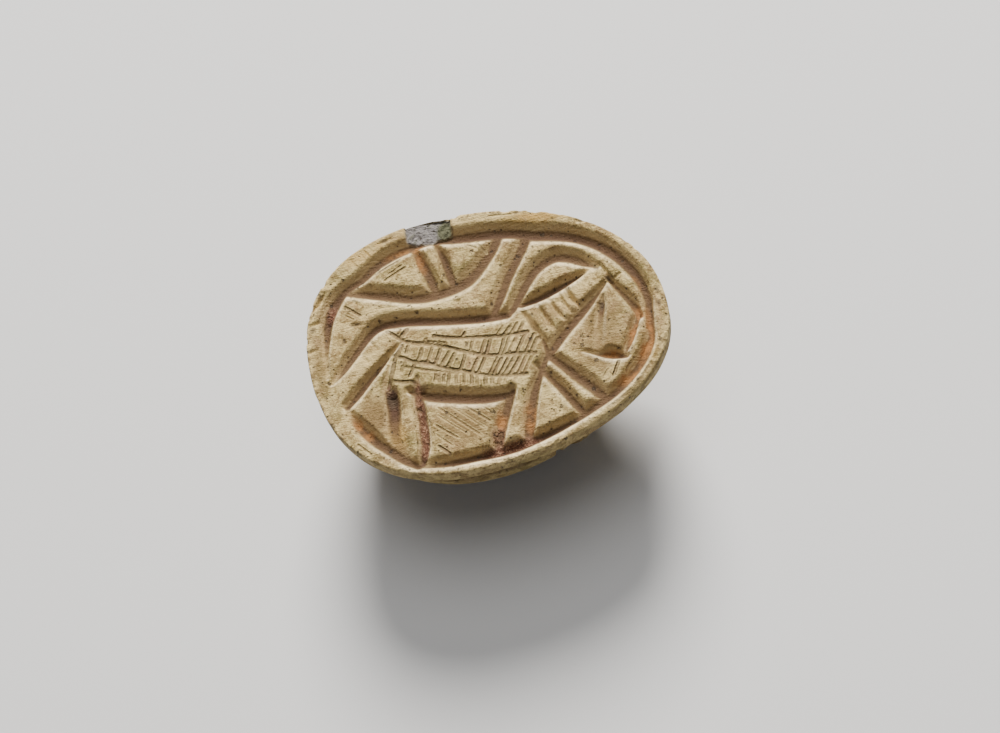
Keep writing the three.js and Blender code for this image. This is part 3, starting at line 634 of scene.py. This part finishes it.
def stitchHalf(a, b):
    # triangles between an upper ring a and a lower ring b of half as many vertices
    a0, a1, a2 = a[0::2], a[1::2], np.roll(a[0::2], -1)
    c = np.roll(b, -1)
    return np.vstack([np.stack([b, c, a1], 1), np.stack([b, a1, a0], 1), np.stack([c, a2, a1], 1)])


def vertexNormals(points, quads, triangles):
    # the sum of the cross products of the faces around each vertex, made one long
    normals = np.zeros_like(points)
    for faces in (quads, triangles):
        p = points[faces]
        n = np.cross(p[:, 2] - p[:, 0], p[:, -1] - p[:, 1]) if faces.shape[1] == 4 else \
            np.cross(p[:, 1] - p[:, 0], p[:, 2] - p[:, 0])
        for k in range(faces.shape[1]):
            for axis in range(3):
                normals[:, axis] += np.bincount(faces[:, k], n[:, axis], len(points))
    return normals / np.maximum(np.linalg.norm(normals, axis=1), 1e-12)[:, None]


def ridgeAlong(points, start, end, halfWidth):
    # 1 on a line between two points of a plane, falling in a half round to 0
    span = np.subtract(end, start)
    t = np.clip(((points - start) @ span) / (span @ span), 0, 1)
    away = np.hypot(*(points - start - t[:, None] * span).T)
    return np.sqrt(np.clip(1 - (away / halfWidth) ** 2, 0, 1)), t


legDesign = {
    "runs": [(0.4, 0.9), (0.07, -0.36), (-0.41, -0.94)],
    "height": 0.5,
    "nickDepth": 0.07,
    "nicks": 9,
}


def legRelief(points):
    # three folded legs on each side, low ridges from the wing edge up to the plate, with small
    # nicks along them
    reach = length / 2 - stone["waistInset"] * 1.05
    xz = points[:, [0, 2]]
    relief = np.zeros(len(points))
    inWaist = smoothStep(wingZ - 0.15, wingZ + 0.25, points[:, 2]) * (points[:, 2] < plinthZ + 0.02) \
        * smoothStep(0.7, 1.2, insideEdge(points))
    for start, end in legDesign["runs"]:
        a = (start * reach, wingZ - 0.1)
        b = (end * reach, plinthZ + 0.1)
        ridge, t = ridgeAlong(xz, a, b, stone["legWidth"] / 2)
        nicks = legDesign["nickDepth"] * np.clip(np.cos(t * 2 * math.pi * legDesign["nicks"]), 0.6, 1)
        relief = np.maximum(relief, ridge * (legDesign["height"] - nicks))
    return relief * inWaist


backDesign = {
    "collarAt": 0.36,
    "collarBow": 0.13,
    "seamEnd": -0.93,
    "shoulderFrom": (0.4, 0.5),
    "shoulderTo": (0.21, 0.63),
    "lesserLine": 0.85,
}


def backLines(points):
    # depth of the lines on the back: across it, between the wing cases, and at the shoulders
    design = backDesign
    along = (points[:, 0] - back["middle"]) / back["halfLength"]
    across = points[:, 1] / back["halfWidth"]
    size = stone["backLineWidth"]

    def line(away, share):
        return np.clip(1.15 * (1 - np.abs(away) / (size * share / 2)), 0, 1)

    collar = design["collarAt"] + design["collarBow"] * across ** 2
    depth = line((along - collar) * back["halfLength"], 1)
    seam = line(points[:, 1], design["lesserLine"]) * (along < collar) * (along > design["seamEnd"])
    depth = np.maximum(depth, seam)
    for side in (1, -1):
        ends = [(back["middle"] + u * back["halfLength"], side * v * back["halfWidth"])
                for u, v in (design["shoulderFrom"], design["shoulderTo"])]
        ridge = ridgeAlong(points[:, :2], *ends, size * 0.45)[0]
        depth = np.maximum(depth, ridge * design["lesserLine"])
    return depth * stone["backLineDepth"] * (points[:, 2] < wingZ - 0.1)


def waistShare(points):
    # 1 in the waist between the plate and the wing edge, 0 outside it
    z = points[:, 2]
    return smoothStep(wingZ - 0.35, wingZ + 0.2, z) * (z < plinthZ + 0.05) \
        * smoothStep(0.2, 0.7, insideEdge(points))


def giveMask(mesh, name, values):
    data = mesh.attributes.new(name, "FLOAT", "POINT").data
    data.foreach_set("value", values.astype(np.float32))


def rimShare(points):
    # 1 along the upper edge of the plate, 0 from half a millimetre away
    return (1 - smoothStep(0.05, 0.5, insideEdge(points))) \
        * smoothStep(faceZ - 0.7, faceZ - 0.15, points[:, 2])


chipDesign = {
    "ends": (-3.15, -0.8),
    "middle": 5.8,
    "slant": 0.15,
    "inner": 5.2,
    "curl": 0.25,
    "depth": 0.3,
}


def chipDepth(points):
    # where the flake is lost from the top of the rim, and how deep its rough floor lies
    x, y = points[:, 0], points[:, 1]
    slant = (y - onPlate(0, chipDesign["middle"])[1]) * chipDesign["slant"]
    x0, x1 = (end + slant for end in onPlate(chipDesign["ends"], (0, 0))[0])
    ragged = 0.25 * valueNoise(points, 0.5, 13) + 0.08 * valueNoise(points, 0.15, 14)
    inside = smoothStep(x0 + ragged, x0 + ragged + 0.1, x) * smoothStep(-x1, -x1 + 0.12, -x - ragged)
    floor = chipDesign["depth"] + 0.08 * valueNoise(points, 0.35, 11) + 0.06 * valueNoise(points, 0.15, 12)
    towardsEnd = np.clip(np.abs(x - (x0 + x1) / 2) / (x1 - x0) * 2, 0, 1)
    inner = onPlate(0, chipDesign["inner"])[1] + ragged + chipDesign["curl"] * towardsEnd ** 3
    return inside * smoothStep(inner - 0.1, inner + 0.1, y), floor


def blot(points, x, y, rx, ry):
    # a soft oval patch in plan, 1 in its middle
    px, py = onPlate(x, y)
    u, v = (points[:, 0] - px) / rx, (points[:, 1] - py) / ry
    return np.clip(1 - (u * u + v * v), 0, 1)


# Patches of colour on the face: x, y, half sizes; a tone also has how much paler (or darker)
stains = {
    "crust": [(-3.72, -3.3, 0.3, 0.9), (-3.7, -4.7, 0.35, 0.9), (-3.8, -5.6, 0.3, 0.5),
              (-0.2, -6.2, 1.1, 0.4), (0.9, -6.1, 0.9, 0.35), (-7.25, 2.4, 0.4, 0.6),
              (-0.3, -5.5, 0.5, 0.5), (-3.55, -2.2, 0.4, 0.4), (-4.9, -2.1, 0.4, 0.4)],
    "orange": [(7.3, -1.5, 0.7, 1.7), (7.2, -2.2, 0.8, 1.2), (6.3, -3.7, 1.6, 0.7), (1.4, -4.9, 0.5, 1.0),
               (-0.1, -4.8, 0.5, 0.9), (-6.6, -3.8, 0.7, 1.1), (5.7, -2.5, 0.6, 0.3),
               (-2.6, 4.4, 0.35, 0.9), (7.3, 0.7, 0.4, 0.7), (-3.0, 4.9, 1.6, 0.35)],
    "yellow": [(-5.0, -4.6, 0.6, 1.2), (7.5, -2.6, 0.5, 0.9), (-5.7, 5.3, 1.6, 0.8),
               (3.5, 5.4, 2.5, 0.6)],
    "dark": [(-1.15, 5.8, 0.5, 0.6), (-1.2, 5.5, 0.5, 0.5), (-8.3, 1.75, 0.3, 0.3),
             (-8.0, -3.5, 0.25, 0.3), (-7.75, -4.15, 0.25, 0.25), (8.4, 0.2, 0.2, 0.3),
             (8.35, -0.5, 0.2, 0.25), (-4.2, 5.7, 0.3, 0.14), (2.4, 5.8, 0.2, 0.14),
             (5.4, 4.65, 0.22, 0.14), (7.3, 3.2, 0.2, 0.16), (-6.2, 1.58, 0.35, 0.12),
             (-6.85, 0.85, 0.14, 0.22), (5.75, 2.0, 0.25, 0.2), (-5.0, -2.5, 0.4, 0.7),
             (6.15, 1.45, 0.2, 0.2), (5.65, 0.1, 0.25, 0.4)],
    "tone": [(-1.5, -4.6, 2.4, 1.6, -0.9), (-5.9, -3.3, 1.1, 1.4, -0.9), (5.6, -1.2, 1.6, 2.4, -0.75),
             (4.6, -2.9, 1.3, 1.2, -0.6), (-8.3, -0.5, 0.7, 3.0, -0.6), (0.5, 6.1, 6, 0.8, 0.8),
             (-5.4, 5.4, 1.8, 0.9, 0.6), (-6.3, -0.5, 1.3, 0.7, 0.9), (1.5, -6.7, 3.5, 0.6, 0.9),
             (6.5, -4.7, 2.5, 1.2, -0.4), (-4.2, -2.8, 0.8, 0.9, -0.5), (4.2, 0.9, 1.8, 0.9, 0.6),
             (-3.0, 1.85, 3.2, 0.6, 0.9), (0.9, 2.2, 1.2, 0.9, 0.4), (2.0, -5.0, 0.7, 1.0, -0.4)],
}


def stainMasks(points, depth, onFace):
    # each stain is the sum of its patches; the crust lies in the carving only
    deep = np.clip(depth / stone["grooveDepth"] * 1.5, 0, 1)
    masks = {}
    for name in ("crust", "orange", "yellow", "dark"):
        patches = sum(blot(points, *patch) for patch in stains[name])
        masks[name] = np.clip(patches, 0, 1) * onFace
    masks["crust"] = masks["crust"] * deep
    tone = sum(blot(points, *patch[:4]) * patch[4] for patch in stains["tone"])
    masks["tone"] = np.clip(0.5 + 0.5 * tone * onFace, 0, 1)
    return masks


def buildScarab():
    # the face grid, rings down the side, round the waist and up the back, and the crown grid,
    # all moved along their normals by the relief and then down by the depth of the carving
    nu, nv = stone["faceCells"]
    angle, share = discGrid(nu, nv)
    face = facePoints(angle, share)
    border = gridBorder(nu, nv)
    fineAngle = angle[border]
    ringAngle = fineAngle[::2]
    upper, coarse = sideRings(ringAngle, fineAngle)
    capAngle, capRadius = discGrid(nu // 2, nv // 2)
    cap = backPoint(capAngle, capRadius * capShare)

    points = [face] + upper + coarse[:-1] + [cap]
    starts = np.cumsum([0] + [len(p) for p in points])
    points = np.vstack(points)
    capBorder = gridBorder(nu // 2, nv // 2) + starts[-2]
    rings = [border] + [np.arange(starts[k + 1], starts[k + 2])
                        for k in range(len(upper) + len(coarse) - 1)]
    rings.append(capBorder)
    points[capBorder] = coarse[-1]
    quads = [gridFaces(nu, nv), (gridFaces(nu // 2, nv // 2) + starts[-2])[:, ::-1]]
    triangles = stitchHalf(rings[len(upper)], rings[len(upper) + 1])
    for k in range(len(rings) - 1):
        if k != len(upper):
            quads.append(stitch(rings[k], rings[k + 1]))
    quads = np.vstack(quads)

    normals = vertexNormals(points, quads, triangles)
    onFace = np.zeros(len(points), bool)
    onFace[:starts[1 + len(upper)]] = True

    fine = fineLines()
    carved, scratched = carveFace(fine)
    x, y = points[:, 0], points[:, 1]
    worn = carved.blurred(stone["lipWear"])
    deepCut = carved.read(worn, x, y) * onFace
    fineCut = scratched.read(scratched.blurred(stone["fineWear"]), x, y) * onFace
    depth = np.maximum(deepCut, fineCut) + 0.3 * np.minimum(deepCut, fineCut)
    # the strip just on the window side of each groove, read lipAbove towards the window: where the painted
    # highlight goes
    litLip = carved.read(carved.blurred(stone["lipReach"]), x, y + stone["lipAbove"]) * onFace - deepCut
    # how far each wall of the carving faces the window lamp; it is used only to paint light and shade into
    # the colour
    slopeX, slopeY = np.gradient(carved.blurred(0.05), carved.step)
    facingWindow = (carved.read(slopeY, x, y) - 0.25 * carved.read(slopeX, x, y)) * onFace

    chipShare, chipFloor = chipDepth(points)
    chip = chipShare * onFace
    depth = mix(depth, chipFloor, chip)
    deepCut = deepCut * (1 - chip)
    low = valueNoise(points, 2.2, 3) + 0.6 * valueNoise(points, 0.9, 4)
    swell = (np.abs(low) * 0.5) * stone["unevenness"]
    rim = rimShare(points)
    nicks = np.clip(valueNoise(points, 0.55, 21) + 0.5 * valueNoise(points, 0.22, 22) - 0.15, 0, 1)
    legs = legRelief(points)
    lines = backLines(points)
    move = normals * (legs - lines - swell - rim * nicks * stone["rimNicks"])[:, None]
    points = points + move
    points[:, 2] -= np.where(onFace, depth, 0)
    flatSpot = points[:, 2] < 0.03
    points[:, 2] = np.where(flatSpot, 0, points[:, 2])
    points = np.clip(points, lowCorner, highCorner)

    stroke = np.maximum(deepCut, fineCut * 0.75 * (1 - chip))
    mesh = bpy.data.meshes.new("scarabStone")
    faces = [tuple(f) for f in quads.tolist()] + [tuple(f) for f in triangles.tolist()]
    mesh.from_pydata((points * mm).tolist(), [], faces)
    masks = {
        "groove": np.clip(stroke / stone["grooveDepth"], 0, 1.3),
        "rim": rim,
        # high on walls turned from the window, low on walls facing it: it places painted shade and painted
        # highlight
        "awayFromWindow": np.clip(0.5 - facingWindow * 0.5, 0, 1),
        "litLip": np.clip(litLip / stone["grooveDepth"] * 1.4, 0, 1),
        "chip": chip,
        # darker in the lines on the back, and painted shade in the waist under the plate
        "darkLinesAndShade": np.clip(lines / stone["backLineDepth"] + 0.75 * waistShare(points), 0, 1),
    }
    masks.update(stainMasks(points, deepCut, onFace))
    masks["line"] = np.where(onFace, lineMask(points, fine), -1.5)
    for name, values in masks.items():
        giveMask(mesh, name, values)
    mesh.shade_smooth()
    mesh.validate()
    piece = bpy.data.objects.new("scarabStone", mesh)
    bpy.context.collection.objects.link(piece)
    print("stone: %d faces" % len(mesh.polygons))
    return piece


def drillBore(piece):
    # the hole along the stone: a round tool with flared, slightly uneven mouths, cut out of it
    sides, rows = 40, 60
    x = np.linspace(-length / 2 - 1, length / 2 + 1, rows)
    angle = np.arange(sides) / sides * 2 * math.pi
    mouth = smoothStep(length / 2 - stone["flareStart"], length / 2 - stone["flareEnd"], np.abs(x))
    uneven = 1 + stone["boreUnevenness"] * np.sin(3 * angle + 1)
    flared = 1 + stone["boreFlare"] * mouth
    radius = stone["boreDiameter"] / 2 * flared[:, None] * uneven[None, :]
    ring = np.stack([x[:, None] + 0 * radius, radius * np.cos(angle), boreZ + radius * np.sin(angle)], -1)
    points = np.vstack([ring.reshape(-1, 3), [[x[0], 0, boreZ], [x[-1], 0, boreZ]]])
    faces = []
    for i in range(rows - 1):
        a = i * sides + np.arange(sides)
        b = i * sides + (np.arange(sides) + 1) % sides
        faces += np.stack([a, b, b + sides, a + sides], 1).tolist()
    around = np.arange(sides)
    after = (around + 1) % sides
    last = (rows - 1) * sides
    faces += np.stack([after, around, 0 * around + rows * sides], 1).tolist()
    faces += np.stack([last + around, last + after, 0 * around + rows * sides + 1], 1).tolist()
    mesh = bpy.data.meshes.new("boreTool")
    mesh.from_pydata((points * mm).tolist(), [], faces)
    # the tool's faces carry the masks into the bore: 0.8 of the darkening of the back lines and waist
    # shade, a facing neither to nor from the window, a middle tone and no fine line
    for source in piece.data.attributes:
        if source.data_type == "FLOAT":
            value = {"darkLinesAndShade": 0.8, "awayFromWindow": 0.5, "tone": 0.5, "line": -1.5}.get(source.name, 0.0)
            giveMask(mesh, source.name, np.full(len(points), value))
    tool = bpy.data.objects.new("boreTool", mesh)
    bpy.context.collection.objects.link(tool)
    cut = piece.modifiers.new("bore", "BOOLEAN")
    cut.operation = "DIFFERENCE"
    cut.object = tool
    cut.solver = "MANIFOLD"
    depsgraph = bpy.context.evaluated_depsgraph_get()
    bored = bpy.data.meshes.new_from_object(piece.evaluated_get(depsgraph))
    piece.modifiers.clear()
    old = piece.data
    piece.data = bored
    bored.name = "scarabStone"
    bpy.data.meshes.remove(old)
    bpy.data.objects.remove(tool)
    bpy.data.meshes.remove(mesh)
    piece.data.shade_smooth()
    print("bored: %d faces" % len(piece.data.polygons))


# Materials

class Wire:
    # one socket of a node; sums and products of wires and numbers add Math nodes
    def __init__(self, shader, socket):
        self.shader = shader
        self.socket = socket

    def math(self, operation, a, b=0.0):
        return self.shader.node("ShaderNodeMath", {"operation": operation}, {0: a, 1: b})

    def __add__(self, other):
        return self.math("ADD", self, other)

    def __sub__(self, other):
        return self.math("SUBTRACT", self, other)

    def __rsub__(self, other):
        return self.math("SUBTRACT", other, self)

    def __mul__(self, other):
        return self.math("MULTIPLY", self, other)

    __radd__ = __add__
    __rmul__ = __mul__


class Shader:
    # a material under construction; node() adds one node and returns a wire from it
    def __init__(self, name):
        self.material = bpy.data.materials.new(name)
        self.material.use_nodes = True
        self.tree = self.material.node_tree
        self.tree.nodes.clear()

    def node(self, kind, settings=None, inputs=None, output=0):
        made = self.tree.nodes.new(kind)
        for key, value in (settings or {}).items():
            setattr(made, key, value)
        for key, value in (inputs or {}).items():
            if isinstance(value, Wire):
                self.tree.links.new(value.socket, made.inputs[key])
            else:
                made.inputs[key].default_value = value
        return Wire(self, made.outputs[output]) if made.outputs else None

    def attribute(self, name):
        return self.node("ShaderNodeAttribute", {"attribute_name": name}, output="Fac")

    def blend(self, factor, a, b):
        # a where the factor is 0 and b where it is 1
        colours = [c if isinstance(c, Wire) else (*c, 1) for c in (a, b)]
        return self.node("ShaderNodeMix", {"data_type": "RGBA", "clamp_factor": True},
                         {0: factor, 6: colours[0], 7: colours[1]}, 2)

    def between(self, value, a, b):
        # 0 below a, 1 above b, smooth between
        return self.node("ShaderNodeMapRange", {"interpolation_type": "SMOOTHSTEP"},
                         {"Value": value, "From Min": a, "From Max": b})


stoneLook = {
    "buff": (0.262, 0.176, 0.064),
    "pale": (0.60, 0.455, 0.20),
    # painted highlight colour for lips and walls that face the window
    "litLip": (0.84, 0.69, 0.42),
    "tan": (0.165, 0.102, 0.036),
    "olive": (0.22, 0.165, 0.054),
    "pink": (0.33, 0.198, 0.105),
    # a lighter brown painted on walls turned from the window: painted fill light on their shade
    "wall": (0.46, 0.32, 0.145),
    # groove and grooveDeep: brown patina in the carving, placed partly by a painted-shade term; groove also
    # colours the painted waist shade
    "groove": (0.082, 0.041, 0.016),
    "grooveDeep": (0.05, 0.021, 0.01),
    # colour of the fine lines: brown patina deepened as painted shade for cuts too fine for the mesh to
    # shade
    "line": (0.125, 0.082, 0.04),
    "orange": (0.29, 0.128, 0.036),
    "crustRed": (0.17, 0.062, 0.03),
    "crustPale": (0.46, 0.25, 0.14),
    "yellow": (0.36, 0.215, 0.052),
    "chipGrey": (0.2, 0.182, 0.172),
    "chipDark": (0.085, 0.085, 0.045),
    "dark": (0.06, 0.04, 0.022),
    "roughness": 0.8,
    "relief": 0.00016,
}


def steatite():
    look = stoneLook
    s = Shader("steatite")
    coords = s.node("ShaderNodeTexCoord", output="Object")
    place = s.node("ShaderNodeMapping", {}, {"Vector": coords, "Scale": (1000, 1000, 1000)})

    def noise(scale, detail=3.0, rough=0.55, vector=place):
        return s.node("ShaderNodeTexNoise", {}, {"Vector": vector, "Scale": scale,
                                                 "Detail": detail, "Roughness": rough})

    def pits(scale, size, chance, ragged):
        # dark ragged pits: near a cell's point, in a few of the cells
        far = s.node("ShaderNodeTexVoronoi", {}, {"Vector": place, "Scale": scale}, "Distance")
        cell = s.node("ShaderNodeTexVoronoi", {}, {"Vector": place, "Scale": scale}, "Color")
        pick = s.node("ShaderNodeSeparateColor", {}, {0: cell}, 0)
        far = far + (ragged - 0.5) * 0.5
        return (1 - s.between(far, size * 0.5, size)) * s.between(pick, 1 - chance, 1.02 - chance)

    groove, litLip, awayFromWindow, rim = (s.attribute(name) for name in ("groove", "litLip", "awayFromWindow", "rim"))
    chip, darkLinesAndShade, dark, tone = (s.attribute(name) for name in ("chip", "darkLinesAndShade", "dark", "tone"))
    crust, orange, yellow = (s.attribute(name) for name in ("crust", "orange", "yellow"))
    broad, middle, small = noise(0.4), noise(1.5, 4), noise(4.5, 4, 0.6)
    grain, sand = noise(11.0, 4, 0.65), noise(26.0, 3, 0.7)

    # the fine lines, brown patina deepened as painted shade, and a pale painted highlight just outside them
    drawnLine = s.attribute("line")
    line = s.between(drawnLine, 0.0, 0.95)
    lineHighlight = s.between(drawnLine, -1.2, -0.2) * (1 - s.between(drawnLine, -0.1, 0.3))

    base = s.blend(s.between(broad, 0.4, 0.6), look["buff"], look["olive"])
    base = s.blend(s.between(noise(0.7, 3), 0.5, 0.7) * 0.5, base, look["pink"])
    base = s.blend(s.between(middle, 0.42, 0.6) * 0.65, base, look["pale"])
    base = s.blend(s.between(small, 0.5, 0.64) * 0.65, base, look["tan"])
    base = s.blend(s.between(grain, 0.5, 0.68) * 0.6, base, look["pale"])
    base = s.blend(s.between(1 - grain, 0.52, 0.68) * 0.5, base, look["tan"])
    base = s.blend(s.between(tone, 0.5, 1) * 0.75, base, look["pale"])
    base = s.blend(s.between(1 - tone, 0.5, 1) * 0.85, base, look["tan"])
    base = s.blend(yellow * s.between(middle, 0.25, 0.5) * 0.85, base, look["yellow"])
    base = s.blend(rim * s.between(middle, 0.3, 0.55) * 0.8, base, look["pale"])
    base = s.blend(rim * s.between(small, 0.5, 0.6) * 0.7, base, look["tan"])

    # the carving, light and shade painted by each wall's facing to the window: a lighter brown on walls
    # away from it (painted fill), patina darkest on the floor at the foot of the wall that faces it (partly
    # painted shade), and a painted highlight on that wall's lip
    # painted highlight on walls facing the window and on the lip on the window side of each groove, broken
    # up by noise like wear
    facing = s.between(0.5 - awayFromWindow, 0.05, 0.35)
    litAndWornLips = s.between(litLip + (grain - 0.5) * 0.3 + (middle - 0.5) * 0.6, 0.2, 1.0)
    litAndWornLips = litAndWornLips.math("MAXIMUM", litAndWornLips, facing * (1 - s.between(groove, 0.2, 0.55)) * 0.6)
    base = s.blend(litAndWornLips * (1 - s.between(small, 0.45, 0.65) * 0.6) * 0.85, base, look["litLip"])
    # painted fill light: a lighter brown on the walls of the carving turned from the window
    away = s.between(groove, 0.08, 0.5) * s.between(awayFromWindow, 0.45, 0.7)
    base = s.blend(away * 0.75, base, look["wall"])
    # brown patina deepest on the carving's floor, with a painted-shade share that grows where a wall faces
    # the window
    patinaAndShade = groove + (0.5 - awayFromWindow) * 0.5 + (middle - 0.5) * 0.3 + (grain - 0.5) * 0.3
    base = s.blend(s.between(patinaAndShade, 0.45, 0.9) * 0.9, base, look["groove"])
    base = s.blend(s.between(patinaAndShade, 0.85, 1.3) * 0.9, base, look["grooveDeep"])
    warm = orange * s.between(groove + (small - 0.5) * 0.5, 0.15, 0.7) * s.between(middle, 0.35, 0.6)
    base = s.blend(warm * 0.9, base, look["orange"])
    # pale painted highlight beside each fine line, then the line's colour: patina deepened as painted shade
    base = s.blend(lineHighlight * 0.45, base, look["pale"])
    base = s.blend(line * 0.65, base, look["line"])
    crusted = crust * s.between(middle, 0.3, 0.5)
    crumbs = s.blend(s.between(small * 0.5 + grain * 0.5, 0.5, 0.57), look["crustRed"], look["crustPale"])
    base = s.blend(crusted * 0.8, base, crumbs)
    # painted shade in the waist under the plate, and the same darker brown in the lines on the back and in
    # the bore
    base = s.blend(darkLinesAndShade * s.between(middle, 0.25, 0.55) * 0.85, base, look["groove"])
    chipColour = s.blend(s.between(small, 0.5, 0.64) * 0.6 + dark * 1.2, look["chipGrey"], look["chipDark"])
    base = s.blend(s.between(dark + (small - 0.5) * 0.9, 0.2, 1.0) * (0.7 - chip * 0.5), base, look["dark"])
    base = s.blend(chip, base, chipColour)
    dots = pits(1.3, 0.14, 0.6, grain)
    dots = dots.math("MAXIMUM", dots, pits(3.1, 0.18, 0.5, small))
    base = s.blend(dots * 0.75, base, look["dark"])

    drawn = s.node("ShaderNodeMapping", {}, {"Vector": place, "Rotation": (0, 0, 0.65),
                                             "Scale": (0.8, 12, 0.8)})
    rubbed = noise(1.0, 3, 0.6, drawn)
    height = small * 0.8 + grain * 0.4 + sand * 0.15 + rubbed * 0.4 - dots * 0.8 - line * 0.8 \
        + crusted * (grain + small) * 2 + (chip + rim * 0.4) * small * 1.5
    bump = s.node("ShaderNodeBump", {}, {"Height": height, "Strength": 1.0, "Distance": look["relief"]})
    rough = look["roughness"] + (grain - 0.5) * 0.2
    surface = s.node("ShaderNodeBsdfPrincipled", {}, {
        "Base Color": base, "Roughness": rough, "Normal": bump, "IOR": 1.5, "Specular IOR Level": 0.3})
    s.node("ShaderNodeOutputMaterial", {}, {"Surface": surface})
    return s.material


def plainFloor():
    s = Shader("paleFloor")
    surface = s.node("ShaderNodeBsdfPrincipled", {}, {
        "Base Color": (0.52, 0.52, 0.52, 1), "Roughness": 0.65})
    s.node("ShaderNodeOutputMaterial", {}, {"Surface": surface})
    return s.material


# The camera, floor and lights

view = {
    "azimuth": 10.0,
    "elevation": 64.5,
    "roll": -20.59,
    "distance": 126.6 * mm,
    "lens": 95.26,
    "centrePixel": (485.4, 328.1),
    "frame": (1000, 733),
}


def placeCamera():
    # at the view's distance from the middle of the face, turned about its own axis by the roll
    azimuth, elevation, roll = (math.radians(view[k]) for k in ("azimuth", "elevation", "roll"))
    away = Vector((math.sin(azimuth) * math.cos(elevation), -math.cos(azimuth) * math.cos(elevation),
                   math.sin(elevation)))
    right = Vector((math.cos(azimuth), math.sin(azimuth), 0))
    upward = away.cross(right)
    turned = right * math.cos(roll) + upward * math.sin(roll)
    upright = upward * math.cos(roll) - right * math.sin(roll)
    aim = Vector((-drawingMiddle[0] * mm, -drawingMiddle[1] * mm, faceZ * mm))
    camera = bpy.data.objects.new("camera", bpy.data.cameras.new("camera"))
    camera.data.lens = view["lens"]
    camera.data.sensor_width = 36
    camera.data.clip_start, camera.data.clip_end = 0.005, 10
    wide, tall = view["frame"]
    camera.data.shift_x = (wide / 2 - view["centrePixel"][0]) / wide
    camera.data.shift_y = (view["centrePixel"][1] - tall / 2) / wide
    axes = Matrix((turned, upright, away)).transposed().to_4x4()
    camera.matrix_world = Matrix.Translation(aim + away * view["distance"]) @ axes
    bpy.context.collection.objects.link(camera)
    bpy.context.scene.camera = camera


def placeFloor():
    mesh = bpy.data.meshes.new("floor")
    half = 0.8
    corners = [(-half, -half, 0), (half, -half, 0), (half, half, 0), (-half, half, 0)]
    mesh.from_pydata(corners, [], [(0, 1, 2, 3)])
    floor = bpy.data.objects.new("floor", mesh)
    floor.data.materials.append(plainFloor())
    bpy.context.collection.objects.link(floor)


def softLight(name, place, size, power, colour):
    lamp = bpy.data.lights.new(name, "AREA")
    lamp.shape = "DISK"
    lamp.size = size
    lamp.energy = power
    lamp.color = colour
    thing = bpy.data.objects.new(name, lamp)
    thing.location = place
    thing.rotation_euler = (Vector((0, 0, 0.005)) - Vector(place)).to_track_quat("-Z", "Y").to_euler()
    bpy.context.collection.objects.link(thing)


lamps = {
    "window": [(0.05, 0.38, 0.31), 0.22, 7.7, (1.0, 0.97, 0.925)],
    "overhead": [(0.0, 0.12, 0.55), 0.45, 1.7, (1.0, 0.99, 0.97)],
    "fill": [(-0.30, -0.30, 0.40), 0.40, 0.15, (0.97, 0.97, 1.0)],
}


def lightScene():
    for name, (place, size, power, colour) in lamps.items():
        softLight(name, place, size, power, colour)
    world = bpy.data.worlds.new("room")
    world.use_nodes = True
    background = world.node_tree.nodes["Background"]
    background.inputs[0].default_value = (0.95, 0.96, 1.0, 1)
    background.inputs[1].default_value = 0.15
    bpy.context.scene.world = world


placeCamera()
placeFloor()
lightScene()
print("stage set")

scarab = buildScarab()
drillBore(scarab)
scarab.data.materials.clear()
scarab.data.materials.append(steatite())
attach(scarab, "root")
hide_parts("scarab")
print("stone dressed")
